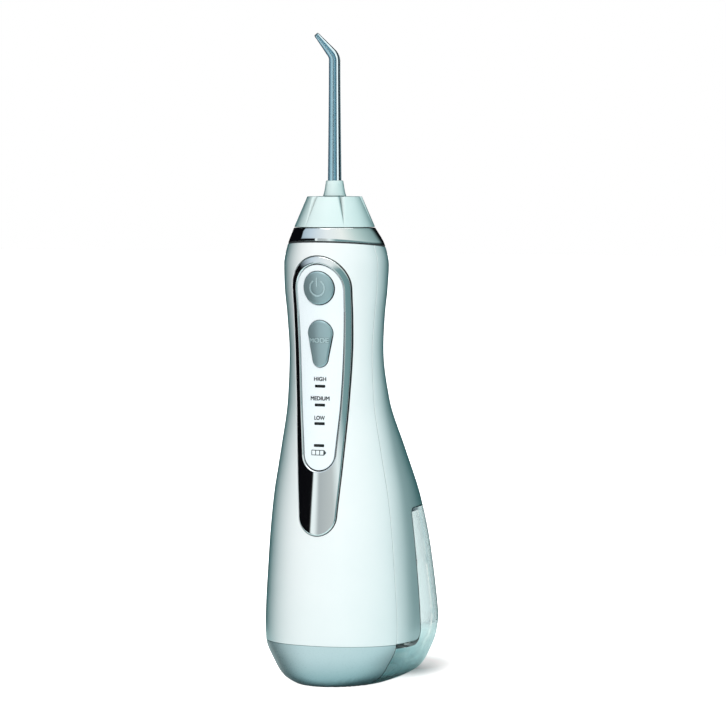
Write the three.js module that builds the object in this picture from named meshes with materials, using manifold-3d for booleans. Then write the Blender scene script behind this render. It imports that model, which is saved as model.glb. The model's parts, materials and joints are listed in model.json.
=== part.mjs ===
// Cordless water flosser. Millimetres. +Z is up, the front faces -Y, and the origin is on the resting
// plane below the axis of the rotation knob. The handle is two shells over a base cap; the clear tank
// slides off the back; the drive, pump, cells and switches are inside.
import * as THREE from 'three';
import { mergeVertices } from 'three/addons/utils/BufferGeometryUtils.js';
import Module from 'manifold-3d';

const wasm = await Module();
wasm.setup();

// ---- driving dimensions ----
const WALL = 2.3; // moulded shell
const TANK_WALL = 2;
const GAP = 0.3; // between pieces that sit edge to edge
const PARTING_Y = -4.5; // plane between the front and rear shells
const CAP_TOP = 19.3; // base cap's upper edge
const RING_LINE = { z: 200.2, tilt: THREE.MathUtils.degToRad(5) }; // ring's lower edge, at Y = 0
const RING_TOP = 208;
const TANK = { shoulder: 19.6, recess: 17.8, lean: 0.066, top: 80, foot: 24, corner: 3 };
const PORT_Z = 68; // where the tank's tube plugs into the handle
const DOOR = { z: 62, tilt: THREE.MathUtils.degToRad(21), half: 13, wall: 1.8 };
const KNOB = { bottom: 208.3, bottomR: 18.4, top: 222.2, topR: 12.4, petals: 6, firstGroove: -22.5 };
const COLLAR = { top: 229.5, topR: 3.8, footR: 5.2, sleeveR: 4.4, bore: 3.6, bottom: 206 };
const TIP = { bottom: 194, bend: 280.2, bendR: 14, angle: 42, heading: 226, end: 8.1, endR: 1.1 };
const CROWN = { z: 150, teeth: 28, module: 0.8, face: 4.8, throw: 1.8, cam: 6 };
const PINION_TEETH = 8;
const MOTOR = { y: CROWN.face + (PINION_TEETH * CROWN.module) / 2, r: 12, bottom: 96, top: 128 };
const PUMP = { bore: 5.55, r: 7.2, bottom: 167.2, length: 16.5, inlet: 13, ball: 171.2 };
const CELL = { x: 9, y: -3, r: 7.25, bottom: 24.4, length: 50 };
const POWER = { z: 181, r: 7.7 };
const MODE = { top: { z: 160.2, r: 6.3 }, bottom: { z: 149.1, r: 4 } };
const SWITCH_Z = { power: POWER.z, mode: 156 };
const LIGHTS = { high: 136.6, medium: 128.1, low: 119.7, charge: 109.8 };
const LIGHT = { width: 4.6, height: 1.2 };
const RELEASE = { z: 190, half: 1.8, r: 3.2 };
const CHARGE = { z: 97, tilt: THREE.MathUtils.degToRad(31), half: 3.4, r: 3.8 };
const SCREWS = { lower: { x: 26, z: 32 }, upper: { x: 22, z: 72 } };

const CREASE_Z = 26; // soft edge round the back of the tank

// Handle cross-sections from the resting plane up: half width, reach to the front and to the back, and
// how far behind the axis the widest place is.
const STATIONS = [
  { z: 0, half: 20.5, front: 19, back: 62, widest: 12 },
  { z: 4, half: 27, front: 21.5, back: 68, widest: 11 },
  { z: 9, half: 30.5, front: 22.5, back: 71, widest: 10 },
  { z: 19.3, half: 34.8, front: 23.5, back: 74.6, widest: 8 },
  { z: CREASE_Z, half: 35.2, front: 23.3, back: 77, widest: 8 },
  { z: 57, half: 33.8, front: 21.6, back: 67.7, widest: 8 },
  { z: 84, half: 31.5, front: 19.4, back: 56.3, widest: 7 },
  { z: 107, half: 27.4, front: 17.7, back: 42.5, widest: 5.5 },
  { z: 130, half: 23.35, front: 16.5, back: 27.6, widest: 3.5 },
  { z: 152, half: 22, front: 16.1, back: 20.5, widest: 1.8 },
  { z: 168, half: 22.9, front: 16.7, back: 20.1, widest: 1.4 },
  { z: 181, half: 24.1, front: 18.2, back: 21.8, widest: 1.5 },
  { z: 191, half: 24.4, front: 19.3, back: 23.5, widest: 1.9 },
  { z: 200, half: 22.4, front: 19.6, back: 22.6, widest: 2 },
  { z: RING_TOP, half: 18.5, front: 18.5, back: 18.5, widest: 0 },
];
const BACK_POWER = [[0, 2.4], [60, 2.45], [100, 2.25], [140, 2], [RING_TOP, 2]];
const FRONT_POWER = [[0, 2.15], [60, 2.15], [100, 2.05], [140, 2], [RING_TOP, 2]];
const OUTER = { sides: 36, levels: [1.5, 4, 9, 14, 19.3, CREASE_Z, 45, 64, 84, 100, 116, 130, 152, 168, 181, 191,
  200, 204] };
const INNER = { sides: 20, levels: [9, 19.3, CREASE_Z, 64, 84, 107, 130, 152, 175, 191, 200] };

// ---- looks ----
const look = (color, roughness, metalness = 0, opacity = 1) =>
  new THREE.MeshStandardMaterial({ color, roughness, metalness, opacity, transparent: opacity < 1 });
const LOOKS = {
  white: look(0xe9f0ef, 0.25),
  mint: look(0xdde7e4, 0.4),
  blueGrey: look(0x8ea5ae, 0.3),
  chrome: look(0xd8dcde, 0.08, 1),
  button: look(0xa9b4bb, 0.35, 0.6),
  tip: look(0xcfe6ee, 0.1, 0, 0.45),
  tank: look(0xb9d5da, 0.08, 0, 0.4),
  light: look(0x55616a, 0.3),
  frame: look(0x4a5056, 0.6),
  steel: look(0xb8bbbe, 0.3, 1),
  brass: look(0xc6a252, 0.35, 1),
  nylon: look(0xe6e3d8, 0.5),
  rubber: look(0x2a2c2e, 0.8),
  silicone: look(0xdfe5e6, 0.6),
  board: look(0x1f5f45, 0.5),
  cell: look(0x3d6fa8, 0.35),
  copper: look(0xb06f40, 0.4, 1),
  red: look(0xb4382f, 0.5),
};

// ---- solids ----
function solid(geometry) {
  geometry.deleteAttribute('normal');
  geometry.deleteAttribute('uv');
  const merged = mergeVertices(geometry);
  const index = merged.index.array;
  const triangles = [];
  for (let i = 0; i < index.length; i += 3) {
    const [a, b, c] = [index[i], index[i + 1], index[i + 2]];
    if (a !== b && b !== c && c !== a) triangles.push(a, b, c);
  }
  const vertProperties = new Float32Array(merged.attributes.position.array);
  const build = (tris) => new wasm.Manifold(
    new wasm.Mesh({ numProp: 3, vertProperties, triVerts: new Uint32Array(tris) }));
  const first = build(triangles);
  return first.volume() > 0 ? first : build(triangles.reverse());
}

function box(x, y, z) {
  const geometry = new THREE.BoxGeometry(x[1] - x[0], y[1] - y[0], z[1] - z[0]);
  return solid(geometry.translate((x[0] + x[1]) / 2, (y[0] + y[1]) / 2, (z[0] + z[1]) / 2));
}

const AXES = {
  x: new THREE.Vector3(1, 0, 0),
  y: new THREE.Vector3(0, 1, 0),
  z: new THREE.Vector3(0, 0, 1),
};

// A round bar along x, y or z, from one place on that axis to another; centre gives the other two
// coordinates in order.
function bar(axis, r, from, to, centre = [0, 0], sides = 20) {
  const geometry = new THREE.CylinderGeometry(r, r, to - from, sides);
  geometry.applyQuaternion(new THREE.Quaternion().setFromUnitVectors(AXES.y, AXES[axis]));
  const middle = (from + to) / 2;
  const [p, q] = centre;
  const place = { x: [middle, p, q], y: [p, middle, q], z: [p, q, middle] }[axis];
  return solid(geometry.translate(...place));
}

function turned(profile, sides = 36) {
  const points = profile.map(([r, z]) => new THREE.Vector2(r, z));
  return solid(new THREE.LatheGeometry(points, sides).rotateX(Math.PI / 2));
}

// A torus about the Z axis, as seals and O-rings are.
function hoop(major, minor, z, sides = 28) {
  return solid(new THREE.TorusGeometry(major, minor, 6, sides).translate(0, 0, z));
}

function shape(points) {
  return new THREE.Shape(points.map(([x, y]) => new THREE.Vector2(x, y)));
}

// A flat outline in (x, z) pushed through from one y to another.
function prismAlongY(outline, from, to) {
  const geometry = new THREE.ExtrudeGeometry(outline, { depth: to - from, bevelEnabled: false });
  return solid(geometry.rotateX(Math.PI / 2).translate(0, to, 0));
}

// A flat outline in (y, z) pushed through from -reach to +reach in x.
function prismAlongX(outline, reach) {
  const geometry = new THREE.ExtrudeGeometry(outline, { depth: 2 * reach, bevelEnabled: false });
  geometry.translate(0, 0, -reach);
  return solid(geometry.applyMatrix4(new THREE.Matrix4().makeBasis(AXES.y, AXES.z, AXES.x)));
}

// The place on the back at height z whose surface leans by tilt: its y axis runs up the surface and its
// z axis points out of it.
function backFrame(z, tilt) {
  const up = new THREE.Vector3(0, -Math.sin(tilt), Math.cos(tilt));
  const out = new THREE.Vector3(0, Math.cos(tilt), Math.sin(tilt));
  const basis = new THREE.Matrix4().makeBasis(AXES.x.clone().negate(), up, out);
  return basis.setPosition(0, station('back', z), z);
}

function placed(manifold, matrix) {
  return solid(meshGeometry(manifold).applyMatrix4(matrix));
}

function meshGeometry(manifold) {
  const mesh = manifold.getMesh();
  const geometry = new THREE.BufferGeometry();
  geometry.setAttribute('position', new THREE.BufferAttribute(mesh.vertProperties, 3));
  geometry.setIndex(new THREE.BufferAttribute(mesh.triVerts, 1));
  return geometry;
}

// Rings of points, anticlockwise seen from above and listed from the bottom up, joined and closed.
function loft(rings) {
  const sides = rings[0].length;
  const points = rings.flat();
  const faces = [];
  for (let level = 0; level + 1 < rings.length; level++) {
    for (let side = 0; side < sides; side++) {
      const a = level * sides + side;
      const b = level * sides + ((side + 1) % sides);
      faces.push(a, b, b + sides, a, b + sides, a + sides);
    }
  }
  const top = (rings.length - 1) * sides;
  const ends = [0, top].map((start) => {
    const centre = new THREE.Vector3();
    points.slice(start, start + sides).forEach((p) => centre.addScaledVector(p, 1 / sides));
    return points.push(centre) - 1;
  });
  for (let side = 0; side < sides; side++) {
    const next = (side + 1) % sides;
    faces.push(ends[0], next, side, ends[1], top + side, top + next);
  }
  const geometry = new THREE.BufferGeometry().setFromPoints(points);
  return solid(geometry.setIndex(faces));
}

// A round rod that follows points, with its own radius at each.
function rod(points, radii, sides = 12) {
  const rings = points.map((point, i) => {
    const before = points[Math.max(i - 1, 0)];
    const after = points[Math.min(i + 1, points.length - 1)];
    const along = after.clone().sub(before).normalize();
    const turn = new THREE.Quaternion().setFromUnitVectors(AXES.z, along);
    return circle(radii[i], sides).map((p) => p.applyQuaternion(turn).add(point));
  });
  return loft(rings);
}

function circle(r, sides) {
  return Array.from({ length: sides }, (_, i) => {
    const angle = (2 * Math.PI * i) / sides;
    return new THREE.Vector3(r * Math.cos(angle), r * Math.sin(angle), 0);
  });
}

// ---- handle surface ----
// A smooth monotone curve through (x, y) pairs.
function smooth(pairs, x) {
  const last = pairs.length - 1;
  const slope = pairs.slice(1).map(([px, py], i) => (py - pairs[i][1]) / (px - pairs[i][0]));
  const tangent = pairs.map((_, i) => {
    if (i === 0) return slope[0];
    if (i === last) return slope[last - 1];
    const [before, after] = [slope[i - 1], slope[i]];
    return before * after <= 0 ? 0 : (2 * before * after) / (before + after);
  });
  const next = pairs.findIndex(([px]) => px >= x);
  const i = next < 0 ? last - 1 : Math.max(next - 1, 0);
  const width = pairs[i + 1][0] - pairs[i][0];
  const t = THREE.MathUtils.clamp((x - pairs[i][0]) / width, 0, 1);
  const [t2, t3] = [t * t, t * t * t];
  return pairs[i][1] * (2 * t3 - 3 * t2 + 1) + tangent[i] * width * (t3 - 2 * t2 + t)
    + pairs[i + 1][1] * (3 * t2 - 2 * t3) + tangent[i + 1] * width * (t3 - t2);
}

// The back turns sharply at CREASE_Z, so it is one curve below that height and another above it.
function station(key, z) {
  const sameSide = (s) => (z <= CREASE_Z ? s.z <= CREASE_Z : s.z >= CREASE_Z);
  const knots = key === 'back' ? STATIONS.filter(sameSide) : STATIONS;
  return smooth(knots.map((s) => [s.z, s[key]]), z);
}

// One cross-section, its half width and reaches moved in by inset.
function section(z, inset, sides) {
  const [half, front, back] = ['half', 'front', 'back'].map((key) => station(key, z) - inset);
  const widest = station('widest', z);
  return Array.from({ length: sides }, (_, i) => {
    const angle = (2 * Math.PI * i) / sides;
    const [c, s] = [Math.cos(angle), Math.sin(angle)];
    const power = 2 / smooth(s > 0 ? BACK_POWER : FRONT_POWER, z);
    const reach = s > 0 ? back - widest : front + widest;
    const x = half * Math.sign(c) * Math.abs(c) ** power;
    return new THREE.Vector3(x, widest + reach * Math.sign(s) * Math.abs(s) ** power, z);
  });
}

// The handle's whole outline, tank and base included, moved in by inset, between two heights.
function handle(inset = 0, from = 0, to = RING_TOP) {
  const { sides, levels } = inset > 0 ? INNER : OUTER;
  const heights = levels.filter((z) => z > from + 0.5 && z < to - 0.5);
  return loft([from, ...heights, to].map((z) => section(z, inset, sides)));
}

const FAR = 100;
const behind = (y) => box([-FAR, FAR], [y, FAR], [-FAR, 3 * FAR]);
const inFront = (y) => box([-FAR, FAR], [-FAR, y], [-FAR, 3 * FAR]);
const between = (z0, z1) => box([-FAR, FAR], [-FAR, FAR], [z0, z1]);

function aboveRingLine(lift) {
  const slab = new THREE.BoxGeometry(FAR, FAR, 40).translate(0, 0, 20);
  return solid(slab.rotateX(-RING_LINE.tilt).translate(0, 0, RING_LINE.z + lift));
}

// The tank's side view, grown by grow into the handle; it runs on past the tank's back and bottom.
function tankRegion(grow) {
  const wallY = (z) => TANK.recess - (z - TANK.foot) * TANK.lean - grow;
  const { corner } = TANK;
  const shoulder = TANK.shoulder + grow;
  const top = TANK.top + grow;
  const [foot, head] = [shoulder + corner * 1.4, top - corner];
  return prismAlongX(shape([
    [PARTING_Y - grow, -5],
    [FAR, -5],
    [FAR, top],
    [wallY(top) + corner, top],
    [wallY(head) + corner * 0.3, top - corner * 0.3],
    [wallY(head), head],
    [wallY(foot), foot],
    [wallY(foot) - corner * 0.3, shoulder + corner * 0.4],
    [wallY(foot) - corner * 1.2, shoulder],
    [PARTING_Y - grow, shoulder - 0.3],
  ]), FAR);
}

// An outline symmetric about x = 0 with round ends, wider or narrower along its sides.
function roundEnded(top, bottom, side = [], grow = 0) {
  const arc = (end, from) => Array.from({ length: 11 }, (_, i) => {
    const angle = from + (Math.PI * i) / 10;
    return [(end.r + grow) * Math.cos(angle), end.z + (end.r + grow) * Math.sin(angle)];
  });
  const left = side.map(([half, z]) => [-half - grow, z]);
  const right = side.map(([half, z]) => [half + grow, z]).reverse();
  return shape([...arc(top, 0), ...left, ...arc(bottom, Math.PI), ...right]);
}

function roundedSquare(half, corner) {
  const points = [];
  [[1, 1], [-1, 1], [-1, -1], [1, -1]].forEach(([sx, sy], quarter) => {
    for (let step = 0; step <= 3; step++) {
      const angle = (Math.PI / 2) * (quarter + step / 3);
      points.push([
        sx * (half - corner) + corner * Math.cos(angle), sy * (half - corner) + corner * Math.sin(angle)]);
    }
  });
  return shape(points);
}

const bezelOutline = (grow) => roundEnded({ z: 180.8, r: 14.6 }, { z: 78.3, r: 9.2 },
  [[14.2, 157], [12.9, 129.6], [11.1, 102]], grow);
const panelOutline = (grow) => roundEnded({ z: 180.2, r: 11.9 }, { z: 106.1, r: 8 },
  [[11.2, 157], [10, 129.6], [8.7, 114]], grow);
const powerOutline = (grow) => roundEnded(POWER, POWER, [], grow);
const modeOutline = (grow) => roundEnded(MODE.top, MODE.bottom, [], grow);
const frontPrism = (outline) => prismAlongY(outline, -40, PARTING_Y - 2);
const pill = ({ half, r }, grow) => {
  const arc = (centre, from) => Array.from({ length: 7 }, (_, i) => {
    const angle = from + (Math.PI * i) / 6;
    return [centre + (r + grow) * Math.cos(angle), (r + grow) * Math.sin(angle)];
  });
  return shape([...arc(half, -Math.PI / 2), ...arc(-half, Math.PI / 2)]);
};

// ---- assembly ----
const flosser = new THREE.Group();
flosser.name = 'water_flosser';

function add(name, manifold, material) {
  const mesh = new THREE.Mesh(meshGeometry(manifold), material);
  mesh.name = name;
  flosser.add(mesh);
}

const outside = handle();
const [frontSide, rearSide] = [inFront(PARTING_Y - GAP / 2), behind(PARTING_Y + GAP / 2)];
const aboveCap = between(CAP_TOP + GAP / 2, RING_TOP);
const shellTop = aboveRingLine(-GAP / 2);
const screwPlaces = Object.entries(SCREWS).flatMap(([level, { x, z }]) =>
  [['left', -x], ['right', x]].map(([side, sx]) => ({ name: `${level}_${side}`, x: sx, z })));

function addFrontHousing() {
  const pocketFloor = handle(1.6, 60, 200);
  const pocket = frontPrism(bezelOutline(GAP)).subtract(pocketFloor);
  const boss = (s) => bar('y', 3, -30, PARTING_Y - GAP / 2, [s.x, s.z], 14).intersect(handle(0.6, 10, 120));
  let shell = outside.subtract(handle(WALL, CAP_TOP + WALL, RING_TOP));
  for (const s of screwPlaces) shell = shell.add(boss(s));
  shell = shell.intersect(frontSide).intersect(aboveCap).subtract(shellTop).subtract(pocket);
  for (const s of screwPlaces) shell = shell.subtract(bar('y', 1.4, -10, 0, [s.x, s.z], 10));
  for (const z of Object.values(SWITCH_Z)) shell = shell.subtract(bar('y', 2.7, -30, 0, [0, z], 16));
  add('front_housing', shell, LOOKS.white);
}

function addRearHousing() {
  const boss = (s) => bar('y', 3.6, PARTING_Y, 17, [s.x, s.z], 14).intersect(handle(0.6, 10, 120));
  const inside = handle(WALL, CAP_TOP + WALL, RING_TOP).subtract(tankRegion(GAP + WALL));
  const releaseHole = prismAlongY(pill(RELEASE, GAP), 10, 40).translate([0, 0, RELEASE.z]);
  let shell = outside.subtract(inside);
  for (const s of screwPlaces) shell = shell.add(boss(s));
  shell = shell.intersect(rearSide).intersect(aboveCap).subtract(tankRegion(GAP)).subtract(shellTop);
  for (const s of screwPlaces) {
    shell = shell.subtract(bar('y', 2.7, 8, 30, [s.x, s.z], 14));
    shell = shell.subtract(bar('y', 1.6, PARTING_Y, 9, [s.x, s.z], 10));
  }
  shell = shell.subtract(bar('y', 3.3, 5, 30, [0, PORT_Z])).subtract(releaseHole);
  add('rear_housing', shell.subtract(chargePrism(GAP, 8)), LOOKS.white);
}

function chargePrism(grow, reach) {
  const outline = pill(CHARGE, grow);
  const geometry = new THREE.ExtrudeGeometry(outline, { depth: 2 * reach, bevelEnabled: false });
  return solid(geometry.translate(0, 0, -reach).applyMatrix4(backFrame(CHARGE.z, CHARGE.tilt)));
}

function addBaseCap() {
  const cap = outside.intersect(inFront(PARTING_Y - GAP / 2)).intersect(between(0, CAP_TOP - GAP / 2));
  const hollow = handle(WALL, WALL, CAP_TOP + 5).intersect(inFront(PARTING_Y - GAP / 2 - WALL));
  add('base_cap', cap.subtract(hollow), LOOKS.blueGrey);
}

function addNeckRing() {
  const band = outside.intersect(aboveRingLine(GAP / 2)).subtract(handle(2, 190, RING_TOP + 1));
  add('neck_ring', band, LOOKS.chrome);
}

function addPanel() {
  const proud = handle(-0.5, 60, 200);
  const backing = handle(1.2, 60, 200);
  const bezel = proud.subtract(backing).intersect(frontPrism(bezelOutline(0)));
  add('panel_bezel', bezel.subtract(frontPrism(panelOutline(GAP))), LOOKS.chrome);
  let panel = handle(-0.1, 60, 200).subtract(backing).intersect(frontPrism(panelOutline(0)));
  panel = panel.subtract(frontPrism(powerOutline(GAP))).subtract(frontPrism(modeOutline(GAP)));
  for (const [name, z] of Object.entries(LIGHTS)) {
    const y = -station('front', z);
    const window = (grow) => box([-LIGHT.width / 2 - grow, LIGHT.width / 2 + grow],
      [y - 0.3 - grow * 10, y + 0.9 + grow * 10], [z - LIGHT.height / 2 - grow, z + LIGHT.height / 2 + grow]);
    panel = panel.subtract(window(0.2));
    add(`${name}_light`, window(0), LOOKS.light);
  }
  add('control_panel', panel, LOOKS.white);
}

function addButtons() {
  const cap = handle(-0.7, 60, 200).subtract(handle(0.5, 60, 200));
  const plunger = (z) => bar('y', 2.2, -station('front', z), -13.9, [0, z], 14);
  add('power_button', cap.intersect(frontPrism(powerOutline(0))).add(plunger(SWITCH_Z.power)), LOOKS.button);
  add('mode_button', cap.intersect(frontPrism(modeOutline(0))).add(plunger(SWITCH_Z.mode)), LOOKS.button);
}

function addKnob() {
  const slope = (KNOB.topR - KNOB.bottomR) / (KNOB.top - KNOB.bottom);
  const slant = (z) => KNOB.bottomR + (z - KNOB.bottom) * slope;
  const groove = (z, half, depth) => [
    new THREE.Vector3(slant(z) - depth, 0, z),
    new THREE.Vector3(slant(z) + 1, -half * (1 + 1 / depth), z),
    new THREE.Vector3(slant(z) + 1, half * (1 + 1 / depth), z)];
  const rim = 0.6;
  let knob = turned([[0, KNOB.bottom], [KNOB.bottomR, KNOB.bottom], [KNOB.topR + rim * 0.4, KNOB.top - rim],
    [KNOB.topR - rim, KNOB.top], [0, KNOB.top]], 42);
  knob = knob.subtract(turned([[0, KNOB.bottom - 1], [13.5, KNOB.bottom - 1], [8, KNOB.top - 2.5],
    [0, KNOB.top - 2.5]]));
  for (let petal = 0; petal < KNOB.petals; petal++) {
    const cut = loft([groove(209.5, 0.05, 0.1), groove(KNOB.top + 1, 1.25, 1.9)]);
    // Groove angles count from the front (-Y) towards +X.
    knob = knob.subtract(cut.rotate([0, 0, KNOB.firstGroove + (360 / KNOB.petals) * petal - 90]));
  }
  add('rotation_knob', knob.subtract(bar('z', COLLAR.sleeveR + 0.1, 200, 230)), LOOKS.mint);
  const foot = KNOB.top + GAP;
  add('nozzle_collar', turned([[COLLAR.bore, COLLAR.bottom], [COLLAR.sleeveR, COLLAR.bottom],
    [COLLAR.sleeveR, foot], [COLLAR.footR, foot], [4.6, foot + 1.6], [4.2, foot + 4], [COLLAR.topR, COLLAR.top],
    [COLLAR.bore, COLLAR.top], [COLLAR.bore, COLLAR.bottom]], 28), LOOKS.mint);
}

function tipPath(extra) {
  const heading = THREE.MathUtils.degToRad(TIP.heading);
  const side = new THREE.Vector3(Math.cos(heading), Math.sin(heading), 0);
  const place = (reach, z) => side.clone().multiplyScalar(reach).setZ(z);
  const points = [place(0, TIP.bottom - extra), place(0, 229.5), place(0, 255), place(0, 275)];
  const steps = 5;
  for (let step = 0; step <= steps; step++) {
    const angle = THREE.MathUtils.degToRad((TIP.angle * step) / steps);
    points.push(place(TIP.bendR * (1 - Math.cos(angle)), TIP.bend + TIP.bendR * Math.sin(angle)));
  }
  const last = points[points.length - 1];
  const angle = THREE.MathUtils.degToRad(TIP.angle);
  points.push(last.clone().addScaledVector(place(Math.sin(angle), Math.cos(angle)), TIP.end + extra));
  return points;
}

function addTip() {
  // One radius for each point of the path, from the socket up to the end.
  const outer = [3.1, 3.1, 2.85, 2.65, 2.6, 2.55, 2.5, 2.4, 2.3, 2.2, TIP.endR];
  const inner = [1.6, 1.6, 1.5, 1.4, 1.3, 1.3, 1.2, 1.2, 1.1, 1.1, 0.5];
  const ringGroove = (z0, z1, r) => bar('z', 5, z0, z1).subtract(bar('z', r, z0 - 1, z1 + 1));
  const tip = rod(tipPath(0), outer, 14).subtract(rod(tipPath(0.5), inner, 8));
  const grooves = ringGroove(203.3, 205.3, 2.5).add(ringGroove(196.4, 197.6, 2.5));
  add('jet_tip', tip.subtract(grooves), LOOKS.tip);
  add('tip_o_ring', hoop(3, 0.42, 197, 18), LOOKS.rubber);
}

function doorSolid(half, corner, from, to) {
  const depth = to - from;
  const block = new THREE.ExtrudeGeometry(roundedSquare(half, corner), { depth, bevelEnabled: false });
  return solid(block.translate(0, 0, from).applyMatrix4(backFrame(DOOR.z, DOOR.tilt)));
}

// Hinge line at the door's lower edge, in the door's own frame: up the surface and out of it.
const HINGE = { up: -DOOR.half - 1.2, out: 0.6, r: 1.5, half: 8, ear: 3, pin: 0.75 };
const doorMatrix = backFrame(DOOR.z, DOOR.tilt);
const inDoorFrame = (manifold) => placed(manifold, doorMatrix);
const hingeBar = (r, from, to) => inDoorFrame(bar('x', r, from, to, [HINGE.up, HINGE.out], 16));

function addReservoir() {
  const cavity = handle(TANK_WALL, TANK_WALL, 120).intersect(tankRegion(-TANK_WALL));
  let tank = outside.intersect(tankRegion(0)).intersect(between(0, 120)).subtract(cavity);
  for (const side of [-1, 1]) {
    const [a, b] = [side * (HINGE.half + 0.5), side * (HINGE.half + 0.5 + HINGE.ear)].sort((p, q) => p - q);
    tank = tank.add(hingeBar(HINGE.r, a, b));
    tank = tank.add(inDoorFrame(box([a, b], [HINGE.up - 1, HINGE.up + 0.8], [-3, HINGE.out])));
  }
  tank = tank.subtract(doorSolid(DOOR.half + 0.35, 3.3, -12, 12).subtract(inDoorFrame(
    box([HINGE.half + 0.4, 20], [-20, HINGE.up + 0.9], [-5, 5]).add(
      box([-20, -HINGE.half - 0.4], [-20, HINGE.up + 0.9], [-5, 5])))));
  tank = tank.subtract(hingeBar(2.1, -HINGE.half - 0.4, HINGE.half + 0.4));
  tank = tank.subtract(inDoorFrame(
    box([-HINGE.half - 0.4, HINGE.half + 0.4], [HINGE.up - 0.4, HINGE.up + 1.4], [-1.6, 5])));
  tank = tank.subtract(hingeBar(HINGE.pin + 0.1, -20, 20)).subtract(bar('y', 2.9, 0, 30, [0, PORT_Z]));
  add('reservoir', tank, LOOKS.tank);
}

function addFillDoor() {
  const skin = outside.subtract(handle(DOOR.wall, 20, 120));
  let door = skin.intersect(doorSolid(DOOR.half, 3, -12, 12));
  door = door.add(hingeBar(HINGE.r, -HINGE.half, HINGE.half));
  door = door.add(inDoorFrame(box([-HINGE.half, HINGE.half], [HINGE.up, HINGE.up + 1.7], [-1.3, 0.2])));
  add('fill_door', door.subtract(hingeBar(HINGE.pin + 0.1, -20, 20)), LOOKS.tank);
  add('door_hinge_pin', hingeBar(HINGE.pin, -HINGE.half - 3.2, HINGE.half + 3.2), LOOKS.steel);
  const lip = handle(DOOR.wall + GAP, 20, 120).subtract(handle(DOOR.wall + GAP + 1, 20, 120));
  const loop = doorSolid(DOOR.half - 1.2, 2, -12, 12).subtract(doorSolid(DOOR.half - 2.8, 1, -14, 14));
  add('door_seal', lip.intersect(loop), LOOKS.silicone);
}

function tube(points, r, sides, steps) {
  const knots = points.map((p) => new THREE.Vector3(...p));
  const curve = new THREE.CatmullRomCurve3(knots, false, 'centripetal');
  const outline = new THREE.Shape(circle(r, sides).map((p) => new THREE.Vector2(p.x, p.y)));
  return solid(new THREE.ExtrudeGeometry(outline, { steps, extrudePath: curve, bevelEnabled: false }));
}

function addSuction() {
  const path = [[0, 33, 8], [0, 33, 13], [0, 31, 24], [0, 26, 46], [0, 23, 61], [0, 20.5, PORT_Z - 1],
    [0, 17, PORT_Z], [0, 12.9, PORT_Z]];
  add('suction_tube', tube(path, 2.2, 10, 18), LOOKS.tank);
  const strainer = bar('z', 4, 3, 12, [0, 33]).subtract(bar('z', 2.5, 7, 13, [0, 33]));
  add('suction_strainer', strainer, LOOKS.white);
  const seal = new THREE.TorusGeometry(2.75, 0.4, 6, 18).rotateX(Math.PI / 2).translate(0, 13.6, PORT_Z);
  add('port_seal', solid(seal), LOOKS.rubber);
}

function addTipRelease() {
  const plug = handle(-0.8, 170, 200).intersect(prismAlongY(pill(RELEASE, 0), 15.5, 40)
    .translate([0, 0, RELEASE.z]));
  add('release_button', plug, LOOKS.button);
  const leg = box([-3, 3], [13.4, 15.2], [186.5, 204.9]);
  const yoke = box([-5.6, 5.6], [-7.5, 15.2], [203.7, 204.9]);
  add('tip_latch', leg.add(yoke).subtract(box([-3.8, 3.8], [-3.8, 5.8], [200, 206])), LOOKS.nylon);
  const turns = 4;
  const coil = Array.from({ length: turns * 10 + 1 }, (_, i) => {
    const angle = (2 * Math.PI * i) / 10;
    return [2 * Math.cos(angle), 7.6 + (5.2 * i) / (turns * 10), 191 + 2 * Math.sin(angle)];
  });
  add('release_spring', tube(coil, 0.28, 5, turns * 10), LOOKS.steel);
}

function addCharging() {
  const skin = handle(0.4, 60, 130).subtract(handle(WALL + 0.4, 60, 130));
  const contact = (side) => placed(bar('z', 1.3, -3.5, -0.7, [side * CHARGE.half, 0], 12),
    backFrame(CHARGE.z, CHARGE.tilt));
  const hole = (side) => placed(bar('z', 1.6, -9, 9, [side * CHARGE.half, 0], 12),
    backFrame(CHARGE.z, CHARGE.tilt));
  add('charge_port', skin.intersect(chargePrism(0, 8)).subtract(hole(-1)).subtract(hole(1)), LOOKS.frame);
  add('charge_contact_left', contact(1), LOOKS.brass);
  add('charge_contact_right', contact(-1), LOOKS.brass);
}

function addChassis() {
  const spine = box([-10.5, 10.5], [-8.9, -7.7], [88, 198]);
  const shelf = box([-11.5, 11.5], [-8, 17], [MOTOR.top + 0.6, MOTOR.top + 2.2]);
  const clamp = box([-9.5, 9.5], [-8, 9], [171, 174]).subtract(bar('z', PUMP.r + 0.1, 170, 175));
  const boss = bar('y', 3.2, -8, -1.9, [0, CROWN.z]);
  const neck = box([-8.5, 8.5], [-8, 6.9], [188, 190]).subtract(bar('z', 6.6, 180, 200));
  let chassis = spine.add(shelf).add(clamp).add(boss).add(neck);
  chassis = chassis.subtract(bar('z', 5.2, 120, 135, [0, MOTOR.y]));
  add('chassis', chassis.subtract(bar('y', 1.55, -12, 0, [0, CROWN.z])), LOOKS.frame);
  add('gear_axle', bar('y', 1.5, -8.9, CROWN.face - 0.9, [0, CROWN.z], 16), LOOKS.steel);
}

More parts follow.
